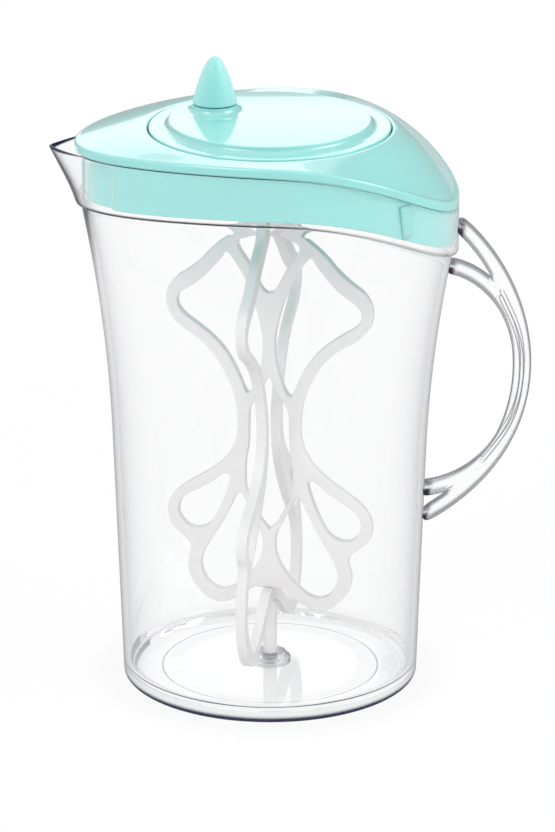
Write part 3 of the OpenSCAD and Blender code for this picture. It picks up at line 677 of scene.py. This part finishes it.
def turned(name, profile, centre, material, extra=()):
    """A piece turned on a lathe: each profile is a closed run of (radius, height) round its own centre."""
    build = bmesh.new()
    for run, (cx, cy) in ((profile, centre), *extra):
        rings = []
        for r, z in run:
            count = 1 if r < WELD else TURNED_STEPS
            turns = [math.tau * i / count for i in range(count)]
            rings.append([build.verts.new((cx + r * math.cos(a), cy + r * math.sin(a), z)) for a in turns])
        for low, high in zip(rings, rings[1:] + rings[:1]):
            for i in range(TURNED_STEPS):
                j = i + 1
                corners = [low[i % len(low)], low[j % len(low)], high[j % len(high)], high[i % len(high)]]
                corners = list(dict.fromkeys(corners))
                if len(corners) > 2:
                    build.faces.new(corners)
    bmesh.ops.recalc_face_normals(build, faces=build.faces)
    mesh = bpy.data.meshes.new(name)
    build.to_mesh(mesh)
    build.free()
    mesh.shade_smooth()
    mesh.set_sharp_from_angle(angle=SHARP_TURN)
    return piece_from(name, mesh, material)


def arc(centre, radius, first, last, steps):
    """Points of an arc, its angles in degrees."""
    turns = [math.radians(first + (last - first) * i / steps) for i in range(steps + 1)]
    return [(centre[0] + radius[0] * math.cos(a), centre[1] + radius[1] * math.sin(a)) for a in turns]


ROUND_STEPS = 6         # steps of a rounded edge of the dial
COVE_STEPS = 12         # steps of its cove and of the knob's foot


def dial_profile(p):
    """Half section of the dial: raised top, hollow cove, outer ring, skirt and underside."""
    r = p.rounding
    top = [(0.0, p.top_z)] + arc((p.top_r - r, p.top_z - r), (r, r), 90, 0, ROUND_STEPS)
    cove = arc((p.top_r + p.cove_w, p.top_z - r), (p.cove_w, p.top_z - r - p.edge_z), 180, 270, COVE_STEPS)
    ring = arc((p.dial_r - r, p.edge_z - r), (r, r), 90, 0, ROUND_STEPS)
    inner_r = p.dial_r - p.skin
    roof_z = p.top_z - p.skin
    under = [(p.dial_r, p.low_z), (inner_r, p.low_z), (inner_r, p.edge_z - p.skin),
             (p.top_r - p.skin, roof_z), (p.middle_r, roof_z),
             (p.middle_r, p.low_z + p.skin), (0.0, p.low_z + p.skin)]
    return top + cove[1:] + ring + under


def foot_profile(p):
    """Half section of the hollow-sided foot under the knob, let into the dial."""
    wide = p.foot_r + p.foot_flare
    high = p.top_z + p.foot_h
    sunk = p.top_z - p.skin / 2
    curve = arc((wide, high), (p.foot_flare, p.foot_h), 270, 180, COVE_STEPS)
    return [(0.0, sunk), (wide, sunk)] + curve + [(0.0, high)]


KNOB_STEPS = 40         # rings of the knob's side
KNOB_EDGE = 0.5 * MM    # rounding of the knob's base
KNOB_BEVEL = 0.15 * MM  # how far the middle of that rounding lies in from the corner


def knob_profile(p):
    """Half section of the pointed knob with its bore."""
    low = p.knob_low_z
    bore = [(0.0, low + p.bore_h), (p.bore_r, low + p.bore_h), (p.bore_r, low)]
    base = [(p.knob_r - KNOB_EDGE, low), (p.knob_r - KNOB_BEVEL, low + KNOB_BEVEL)]
    shares = [math.sin(QUARTER * i / KNOB_STEPS) for i in range(KNOB_STEPS + 1)]
    side = [(p.knob_r * math.sqrt(max(0.0, 1.0 - part ** p.fullness)), low + p.knob_h * part)
            for part in shares]
    return bore + base + [point for point in side if point[1] > low + KNOB_EDGE]


FLAT_TURN = math.radians(0.5)  # faces of a CAD node that turn less than this are one face
EDGE_TURN = math.radians(40)   # its edges that turn further than this are rounded
EDGE_STEPS = 3                 # faces across such a rounding
FLAT_WEIGHT = 90               # how much the large faces steer the shading beside it


def softened(node, name, width, material):
    """A copy of a CAD node with its edges rounded over."""
    build = bmesh.new()
    build.from_mesh(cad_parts[node].data)
    bmesh.ops.remove_doubles(build, verts=build.verts, dist=WELD)
    bmesh.ops.dissolve_limit(build, angle_limit=FLAT_TURN, verts=build.verts, edges=build.edges)
    mesh = bpy.data.meshes.new(name + "_plain")
    build.to_mesh(mesh)
    build.free()
    mesh.shade_smooth()
    plain = linked(name + "_plain", mesh)
    bevel = plain.modifiers.new("Rounded edges", "BEVEL")
    bevel.width = width
    bevel.segments = EDGE_STEPS
    bevel.limit_method = "ANGLE"
    bevel.angle_limit = EDGE_TURN
    weighted = plain.modifiers.new("Flat faces", "WEIGHTED_NORMAL")
    weighted.weight = FLAT_WEIGHT
    return piece_from(name, applied(plain), material)


class Paint(Nodes):
    """A material that is written as expressions."""

    def __init__(self, name):
        self.material = bpy.data.materials.new(name)
        self.material.use_nodes = True
        super().__init__(self.material.node_tree)
        self.tree.nodes.clear()
        self.place = self.add("ShaderNodeTexCoord").out("Object")

    def noise(self, scale, detail):
        return self.add("ShaderNodeTexNoise", {"Vector": self.place, "Scale": scale, "Detail": detail})

    def bump(self, height, strength, distance):
        return self.add("ShaderNodeBump", {"Height": height, "Strength": strength, "Distance": distance})

    def between(self, part, low, high):
        """Colour at a share of the way between two colours, each plain or worked out."""
        low, high = (end if isinstance(end, Socket) else (*end, 1.0) for end in (low, high))
        return self.add("ShaderNodeMix", {0: part, 6: low, 7: high}, output=2, data_type="RGBA")

    def glancing(self):
        """0 where a face is seen straight on, rising to 1 where it is seen along itself."""
        return self.add("ShaderNodeLayerWeight", {"Blend": 0.5}, output="Facing")

    def upward(self):
        """1 where a face looks up, 0 where it stands upright and -1 where it looks down."""
        return self.parts(self.add("ShaderNodeNewGeometry", output="Normal"))[2]

    def plastic(self, inputs):
        return self.add("ShaderNodeBsdfPrincipled", inputs)

    def finish(self, surface, volume=None):
        end = self.tree.nodes.new("ShaderNodeOutputMaterial")
        self.plug(end.inputs["Surface"], surface)
        if volume:
            self.plug(end.inputs["Volume"], volume)
        return self.material


def lighter(colour, factor):
    """A colour scaled towards light or dark."""
    return tuple(min(1.0, part * factor) for part in colour)


FOOT_LINE = 1.6 * MM    # height of the painted dark line along the bottom edge
FOOT_REACH = 2.56 * MM  # how far in from the bottom edge that line begins
RECESS_LINE = 0.5 * MM  # half width of the painted dark line round the recess
COLLAR_LINE = 0.9 * MM  # half height of the painted dark line under the collar
FADE_REACH = 40 * MM    # how far towards the handle the collar's lines fade
FADE_LEFT = 0.5         # share of them that is left there
LIP_EDGE = 60 * MM      # from here on towards the lip its sides get painted dark lines
LIP_EASE = 6 * MM       # over this length they set in
LIP_BRIM = 0.8 * MM     # height of the painted dark line along the lip's brim
FAR_LOSS = 0.75         # share of the lines that is lost where they are seen through another wall
LEVEL_FACE = (0.3, 0.3)   # start and width of the rise from upright faces to level ones
GLANCING = (0.5, 0.25)    # start and width of the rise from faces seen straight on to glancing ones


# Painted shade: the dark lines below stand in for the dark that the clear plastic refracts and mirrors.
def jug_lines(paint, rays):
    """1 on the jug's painted dark lines at foot, recess, collar, rim and lip, painted shade in place of the
    dark that the clear plastic refracts and mirrors.
    """
    jug = values("jug")
    x, y, z = paint.parts(paint.place)
    round_r = (x * x + y * y).root()
    low = z.fall(FOOT_LINE, FOOT_LINE)
    foot = round_r.rise(jug.base_r - FOOT_REACH, FOOT_LINE) * low
    ring = abs(round_r - jug.recess_r).fall(0.0, RECESS_LINE) * low
    lip = (0.0 - x).most(0.0) / jug.mouth_spout
    handle = x.most(0.0) / jug.mouth_handle
    rim = jug.rim_mid_z - jug.rim_drop * handle ** jug.rim_swoop - jug.spout_drop * lip * lip
    edge = rim - jug.collar_h + jug.collar_slope * x + jug.shoulder_step * 0.5
    under = abs(z - edge).fall(0.0, COLLAR_LINE)
    top = abs(paint.upward()).rise(*LEVEL_FACE) * (z - rim).above(-COLLAR_LINE)
    brim = (rim - z).fall(0.0, LIP_BRIM)
    side = paint.glancing().rise(*GLANCING).most(brim) * (0.0 - x).rise(LIP_EDGE, LIP_EASE)
    fade = mix(1.0, FADE_LEFT, x.rise(0.0, FADE_REACH))
    near = 1.0 - FAR_LOSS * rays.out("Transmission Depth").above(1.0)
    return foot.most(under.most(top) * fade).most(side) * near + ring


CLEAR_IOR = 1.49        # refraction of the clear plastic
EDGE_FALL = 4.6         # how narrow its painted dark edges are
DEEPEST = 1             # mirrorings of a ray inside clear plastic before it goes straight on


def clear_moulding(f):
    """The jug: clear plastic with faint flow ripples, with painted shade where a face is seen along itself,
    and with painted dark lines.
    """
    paint = Paint("clear_moulding")
    rays = paint.add("ShaderNodeLightPath")
    flow = paint.noise(scale=9.0, detail=1.0)
    haze = paint.noise(scale=140.0, detail=3.0)
    body = paint.between(haze, lighter(f.clear, 0.995), tuple(f.clear))
    # painted shade along the edges of faces seen along themselves
    shaded = paint.between(paint.glancing() ** EDGE_FALL, body, tuple(f.clear_edge))
    plastic = paint.plastic({
        "Base Color": paint.between(jug_lines(paint, rays), shaded, tuple(f.clear_dark)),
        "Roughness": 0.004 * haze, "IOR": CLEAR_IOR, "Specular Tint": (0.5, 0.5, 0.5, 1.0),
        "Transmission Weight": 1.0, "Normal": paint.bump(flow, strength=0.06, distance=1 * MM)})
    lost = rays.out("Glossy Depth").above(DEEPEST)
    passing = rays.out("Is Shadow Ray").most(rays.out("Is Diffuse Ray")).most(lost)
    through = paint.add("ShaderNodeBsdfTransparent", {"Color": (1.0, 1.0, 1.0, 1.0)})
    surface = paint.add("ShaderNodeMixShader", {0: passing, 1: plastic, 2: through})
    depth = paint.add("ShaderNodeVolumeAbsorption", {
        "Color": (*f.clear_depth, 1.0), "Density": f.clear_density})
    return paint.finish(surface, depth)


ROOT_X = 52.4 * MM      # where the wall that carries the handle would meet the floor
ROOT_SLOPE = 0.0915     # how much the wall leans out on the way up to the collar
COLLAR_Z = 167 * MM     # height from which the wall beside the handle is the collar's
ROOT_DARK = 2.6 * MM    # how far the painted shade where the bars meet the wall reaches into them
FACE_ALPHA = 0.07       # how much of the bars' faces shows
LINE_ALPHA = 0.85       # how much of the painted dark lines along their sides shows
ROOT_ALPHA = 0.95       # how much of the painted shade where they meet the wall shows
ROOT_FACE = (0.1, 0.8)    # start and width of the fade of that dark towards faces that look up
BAR_SIDE = (0.2, 0.55)    # start and width of the rise from a bar's faces to its sides


def clear_handle(f):
    """The handle's thin bars and the pivot cup: see-through faces, with painted shade as dark lines along
    their sides and as dark where the bars meet the wall.
    """
    paint = Paint("clear_handle")
    x, _, z = paint.parts(paint.place)
    collar = values("jug").shoulder_step * z.above(COLLAR_Z)
    beside = x - (ROOT_X + ROOT_SLOPE * z + collar)
    # Painted shade: dark where the bars meet the wall and dark lines along the bars' sides, in place of the
    # dark that they refract and mirror.
    root_shade = beside.fall(0.0, ROOT_DARK) * x.above(ROOT_X) * paint.upward().fall(*ROOT_FACE)
    lines = paint.glancing().rise(*BAR_SIDE)
    sides = paint.between(lines, tuple(f.clear), tuple(f.handle_edge))
    direct = 1.0 - paint.add("ShaderNodeLightPath").out("Glossy Depth").above(0.0)
    flow = paint.noise(scale=60.0, detail=2.0)
    return paint.finish(paint.plastic({
        "Base Color": paint.between(root_shade, sides, tuple(f.clear_dark)),
        "Roughness": 0.04 + 0.04 * flow, "IOR": CLEAR_IOR, "Specular IOR Level": 0.3,
        "Alpha": mix(FACE_ALPHA, LINE_ALPHA, lines).most(root_shade * ROOT_ALPHA) * direct,
        "Normal": paint.bump(flow, strength=0.05, distance=0.5 * MM)}))


def mint_plastic(f, name, rough, coat, rim):
    """Mint plastic with the faint unevenness of a moulded face, its sides lightened by a factor as a painted
    sheen.
    """
    paint = Paint(name)
    cloud = paint.noise(scale=24.0, detail=3.0)
    grain = paint.noise(scale=900.0, detail=2.0)
    face = paint.between(cloud, lighter(f.mint, 0.96), lighter(f.mint, 1.04))
    return paint.finish(paint.plastic({
        # Painted sheen: faces seen along themselves are lightened by the given factor.
        "Base Color": paint.between(paint.glancing(), face, lighter(f.mint, rim)),
        "Roughness": rough + 0.08 * cloud, "IOR": 1.52,
        "Coat Weight": coat, "Coat Roughness": 0.03, "Coat IOR": 1.6,
        "Subsurface Weight": 0.15, "Subsurface Radius": (0.6, 1.0, 1.0), "Subsurface Scale": 2 * MM,
        "Normal": paint.bump(grain, strength=0.03, distance=0.1 * MM)}))


def mint_gloss(f):
    """The polished lid and dial."""
    return mint_plastic(f, "mint_gloss", rough=0.16, coat=1.0, rim=1.0)


def mint_satin(f):
    """The knob, which is less polished and has a painted sheen that lightens its sides."""
    # The factor 1.8 paints a sheen on the knob's sides.
    return mint_plastic(f, "mint_satin", rough=0.36, coat=0.0, rim=1.8)


MILKY_FALL = 1.2        # how narrow the painted shade along the sides of the milky plastic is
MILKY_SIDE_SHADE = 0.7         # how light the painted shade leaves those sides


def milky_satin(f):
    """Satin, slightly see-through white plastic of the paddles, with painted shade along its sides."""
    paint = Paint("milky_satin")
    cloud = paint.noise(scale=40.0, detail=3.0)
    grain = paint.noise(scale=1200.0, detail=2.0)
    face = paint.between(cloud, lighter(f.milky, 0.98), lighter(f.milky, 1.02))
    return paint.finish(paint.plastic({
        # Painted shade: faces seen along themselves are darkened.
        "Base Color": paint.between(paint.glancing() ** MILKY_FALL, face, lighter(f.milky, MILKY_SIDE_SHADE)),
        "Roughness": 0.34 + 0.12 * cloud, "IOR": 1.5,
        "Subsurface Weight": 0.4, "Subsurface Radius": (1.0, 1.0, 1.0), "Subsurface Scale": 3 * MM,
        "Normal": paint.bump(grain, strength=0.06, distance=0.1 * MM)}))


def soft_seal(f):
    """Matte rubber with a fine grain."""
    paint = Paint("soft_seal")
    grain = paint.noise(scale=2500.0, detail=3.0)
    return paint.finish(paint.plastic({
        "Base Color": paint.between(grain, lighter(f.rubber, 0.9), tuple(f.rubber)),
        "Roughness": 0.6 + 0.2 * grain, "Normal": paint.bump(grain, strength=0.2, distance=0.05 * MM)}))


def brushed_steel(f):
    """Turned steel with fine rings round its axis."""
    paint = Paint("brushed_steel")
    lines = paint.add("ShaderNodeTexWave", {
        "Vector": paint.place, "Scale": 900.0, "Distortion": 2.0, "Detail": 2.0},
        output=1, bands_direction="Z")
    return paint.finish(paint.plastic({
        "Base Color": paint.between(lines, lighter(f.steel, 0.85), tuple(f.steel)), "Metallic": 1.0,
        "Roughness": 0.22 + 0.15 * lines, "Normal": paint.bump(lines, strength=0.1, distance=0.02 * MM)}))


def made(finish):
    """The material that a finish makes, made once."""
    return bpy.data.materials.get(finish.__name__) or finish(values("finish"))


def stand_in(piece, body, slot, *nodes):
    """Lets a finished piece ride on its body in place of CAD nodes."""
    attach(piece, body)
    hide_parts(*nodes)


class PITCHER_OT_jug(bpy.types.Operator):
    """Grow the clear jug with its swooping collar and pouring lip"""
    bl_idname = "pitcher.jug"
    bl_label = "Jug"

    def execute(self, context):
        stand_in(jug_shape(made(clear_moulding)), "jug", "clear_plastic", "jug_body")
        return {"FINISHED"}


class PITCHER_OT_handle(bpy.types.Operator):
    """Sweep and fuse the forked handle"""
    bl_idname = "pitcher.handle"
    bl_label = "Handle"

    def execute(self, context):
        stand_in(handle_shape(made(clear_handle)), "jug", "clear_plastic", "jug_handle")
        return {"FINISHED"}


class PITCHER_OT_lid(bpy.types.Operator):
    """Grow the lid's cover and the plug under it"""
    bl_idname = "pitcher.lid"
    bl_label = "Lid"

    def execute(self, context):
        stand_in(lid_cover_shape(made(mint_gloss)), "lid", "mint_plastic", "lid_cover")
        stand_in(lid_plug_shape(made(mint_gloss)), "lid", "mint_plastic", "lid_plug")
        return {"FINISHED"}


class PITCHER_OT_dial(bpy.types.Operator):
    """Turn the crank dial with its foot, and the knob on it"""
    bl_idname = "pitcher.dial"
    bl_label = "Dial and knob"

    def execute(self, context):
        p = values("dial")
        knob_at = p.knob_x, p.knob_y
        foot = foot_profile(p), knob_at
        dial = turned("crank_dial", dial_profile(p), (0.0, 0.0), made(mint_gloss), [foot])
        stand_in(dial, "mixer", "mint_plastic", "dial")
        knob = turned("crank_knob", knob_profile(p), knob_at, made(mint_satin))
        stand_in(knob, "knob", "mint_plastic", "knob")
        return {"FINISHED"}


PADDLE_EDGE = 0.7 * MM  # rounding of the paddles' edges
HUB_EDGE = 0.4 * MM     # rounding of the hub's and the socket's edges
CUP_EDGE = 0.3 * MM     # rounding of the pivot cup's edges
STIRRER = {
    "wide_paddle": PADDLE_EDGE,
    "deep_paddle": PADDLE_EDGE,
    "top_hub": HUB_EDGE,
    "drive_socket": HUB_EDGE,
}


class PITCHER_OT_paddles(bpy.types.Operator):
    """Round the edges of the paddles, their hub and the drive socket"""
    bl_idname = "pitcher.paddles"
    bl_label = "Paddles"

    def execute(self, context):
        for node, width in STIRRER.items():
            piece = softened(node, node + "_soft", width, made(milky_satin))
            stand_in(piece, "mixer", "milky_plastic", node)
        return {"FINISHED"}


FITTINGS = {
    "bearing_sleeve": milky_satin,
    "spindle_seal": soft_seal,
    "drive_spindle": milky_satin,
    "thrust_washer": soft_seal,
    "socket_screw": brushed_steel,
    "knob_pin": brushed_steel,
}


class PITCHER_OT_fittings(bpy.types.Operator):
    """Finish the pivot cup, sleeve, seal, spindle, washer, screw and pin"""
    bl_idname = "pitcher.fittings"
    bl_label = "Fittings"

    def execute(self, context):
        cup = softened("pivot_cup", "pivot_cup_soft", CUP_EDGE, made(clear_handle))
        stand_in(cup, "jug", "clear_plastic", "pivot_cup")
        for node, finish in FITTINGS.items():
            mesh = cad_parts[node].data
            mesh.materials.clear()
            mesh.materials.append(made(finish))
        return {"FINISHED"}


FLOOR_GLOW = 0.9          # how far the floor is white of itself right under the pitcher
GLOW_START = 250 * MM     # from here on outwards it grows whiter
GLOW_REACH = 500 * MM     # over this length it does so
PAINTED_SHADOW_DEPTH = 0.05      # depth of the soft shadow painted on the floor round the clear base
PAINTED_SHADOW_REACH = 18 * MM   # how far that painted shadow reaches
MIRROR_NEAR = 0.7         # how much darker the floor is mirrored, near the pitcher
MIRROR_FAR = 0.4          # and far from it


def floor_paint():
    """White floor that keeps a faint share of the pitcher's own shadow, has a soft shadow painted round the
    base, and runs into the white backdrop.
    """
    paint = Paint("floor_white")
    near = paint.add("ShaderNodeVectorMath", {0: paint.place}, output=1, operation="LENGTH")
    away = near.rise(GLOW_START, GLOW_REACH)
    rays = paint.add("ShaderNodeLightPath")
    through = rays.out("Is Transmission Ray")
    mirrored = rays.out("Is Glossy Ray") * (1.0 - through)
    seen = rays.most(mirrored).most(through)
    once = mirrored * (1.0 - rays.out("Glossy Depth").above(1.0))
    # Painted shadow: a soft ring of shade round the base, painted into the floor's white glow.
    shade = PAINTED_SHADOW_DEPTH * near.fall(values("jug").base_r, PAINTED_SHADOW_REACH)
    darker = (once * mix(MIRROR_NEAR, MIRROR_FAR, away)).most(shade)
    white = paint.between(darker, (1.0, 1.0, 1.0), (0.0, 0.0, 0.0))
    matte = paint.add("ShaderNodeBsdfDiffuse", {"Color": (0.97, 0.97, 0.97, 1.0)})
    glow = paint.add("ShaderNodeEmission", {"Color": white, "Strength": 1.0})
    part = seen * mix(FLOOR_GLOW, 1.0, away)
    return paint.finish(paint.add("ShaderNodeMixShader", {0: part, 1: matte, 2: glow}))


def add_floor(p):
    """A wide floor just under the base."""
    half = p.floor_half
    mesh = bpy.data.meshes.new("floor")
    corners = [(x, y, -p.floor_gap) for x, y in ((-half, -half), (half, -half), (half, half), (-half, half))]
    mesh.from_pydata(corners, [], [(0, 1, 2, 3)])
    floor = piece_from("floor", mesh, floor_paint())


SENSOR_WIDTH = 36       # millimetres


def add_camera(p, scene):
    """The photo's camera."""
    camera = linked("camera", bpy.data.cameras.new("camera"))
    camera.data.lens = p.lens
    camera.data.sensor_width = SENSOR_WIDTH
    c = math.cos(p.camera_turn)
    s = math.sin(p.camera_turn)
    x = p.camera_aside * c + p.camera_away * s
    y = p.camera_aside * s - p.camera_away * c
    camera.location = (x, y, p.camera_z)
    camera.rotation_euler = (QUARTER - p.camera_pitch, 0.0, p.camera_turn)
    scene.camera = camera


BEHIND = 0.3              # directions that point further back than this belong to the room's far side
# Start and width of the fades of the room's dark parts, along a direction's parts from -1 to 1.
CARD_BACK = (-0.1, 0.4)   # the dark side behind the camera ends towards the back
CARD_SIDES = (0.45, 0.3)  # and to the left and right
CARD_LOW = (0.0, 0.06)    # it begins at the horizon
CARD_HIGH = (0.6, 0.25)   # and ends below the ceiling
FAR_RIGHT = (0.05, 0.12)  # the dark of the far side begins right of the middle
FAR_LOW = (0.12, 0.12)    # and ends above the horizon


def add_surroundings(p, scene):
    """White room, darker where the plastic mirrors the side of the camera and the low and right far side."""
    world = bpy.data.worlds.new("surroundings")
    scene.world = world
    world.use_nodes = True
    sky = Nodes(world.node_tree)
    sky.tree.nodes.clear()
    rays = sky.add("ShaderNodeLightPath")
    x, y, z = sky.parts(sky.add("ShaderNodeTexCoord").out("Generated"))
    front = y.fall(*CARD_BACK) * abs(x).fall(*CARD_SIDES)
    dark = front * z.rise(*CARD_LOW) * z.fall(*CARD_HIGH)
    far = y.above(BEHIND)
    right = x.rise(*FAR_RIGHT) * far
    low = z.fall(*FAR_LOW) * far
    mirrored = 1.0 - (p.dark_card * dark).most(p.dark_side * right).most(p.dark_side * low)
    passed = 1.0 - p.dark_through * dark
    strength = mix(p.level, mirrored, rays.out("Is Glossy Ray"))
    strength = mix(strength, passed, rays.out("Is Transmission Ray"))
    strength = mix(strength, 1.0, rays.out("Is Camera Ray"))
    glow = sky.add("ShaderNodeBackground", {"Color": (1.0, 1.0, 1.0, 1.0), "Strength": strength})
    sky.plug(sky.tree.nodes.new("ShaderNodeOutputWorld").inputs[0], glow)


# Name, place, point it faces, width, height and power of each softbox, in metres and watts.
LAMPS = (
    ("key", (-0.9, -1.1, 1.5), (0.0, 0.0, 0.15), 0.9, 0.9, 7.4),
    ("fill", (1.2, -0.15, 1.1), (0.0, 0.0, 0.15), 0.8, 0.8, 7.0),
    ("back", (-0.35, 1.3, 0.67), (0.0, 0.0, 0.215), 0.8, 0.46, 0.75),
)


def add_lamp(name, spot, aim, width, height, power):
    """A softbox that faces a point."""
    lamp = bpy.data.lights.new(name, "AREA")
    lamp.shape = "RECTANGLE"
    lamp.size = width
    lamp.size_y = height
    lamp.energy = power
    box = linked(name, lamp)
    box.location = spot
    box.rotation_euler = (Vector(spot) - Vector(aim)).to_track_quat("Z", "Y").to_euler()


class PITCHER_OT_stage(bpy.types.Operator):
    """Set the camera, the soft light, the white backdrop and the floor"""
    bl_idname = "pitcher.stage"
    bl_label = "Stage"

    def execute(self, context):
        p = values("stage")
        context.scene.view_settings.view_transform = "Standard"
        add_camera(p, context.scene)
        add_surroundings(p, context.scene)
        add_floor(p)
        for lamp in LAMPS:
            add_lamp(*lamp)
        return {"FINISHED"}


OPERATORS = (PITCHER_OT_jug, PITCHER_OT_handle, PITCHER_OT_lid, PITCHER_OT_dial, PITCHER_OT_paddles,
             PITCHER_OT_fittings, PITCHER_OT_stage)


class PITCHER_PT_panel(bpy.types.Panel):
    """Lists the pitcher's pieces and sizes"""
    bl_idname = "PITCHER_PT_panel"
    bl_label = "Mixing pitcher"
    bl_space_type = "VIEW_3D"
    bl_region_type = "UI"
    bl_category = "Pitcher"

    def draw(self, context):
        for operator in OPERATORS:
            self.layout.operator(operator.bl_idname)
        for key, group in SIZE_GROUPS.items():
            box = self.layout.box()
            box.label(text=key.capitalize())
            for field in group.__annotations__:
                box.prop(getattr(context.scene, "pitcher_" + key), field)


CLASSES = (*SIZE_GROUPS.values(), *OPERATORS, PITCHER_PT_panel)


def register():
    for cls in CLASSES:
        bpy.utils.register_class(cls)
    for key, group in SIZE_GROUPS.items():
        setattr(bpy.types.Scene, "pitcher_" + key, bpy.props.PointerProperty(type=group))


def unregister():
    for key in SIZE_GROUPS:
        delattr(bpy.types.Scene, "pitcher_" + key)
    for cls in reversed(CLASSES):
        bpy.utils.unregister_class(cls)


def main():
    register()
    bpy.ops.pitcher.jug()
    bpy.ops.pitcher.handle()
    bpy.ops.pitcher.lid()
    bpy.ops.pitcher.dial()
    bpy.ops.pitcher.paddles()
    bpy.ops.pitcher.fittings()
    bpy.ops.pitcher.stage()


if __name__ == "__main__":
    main()
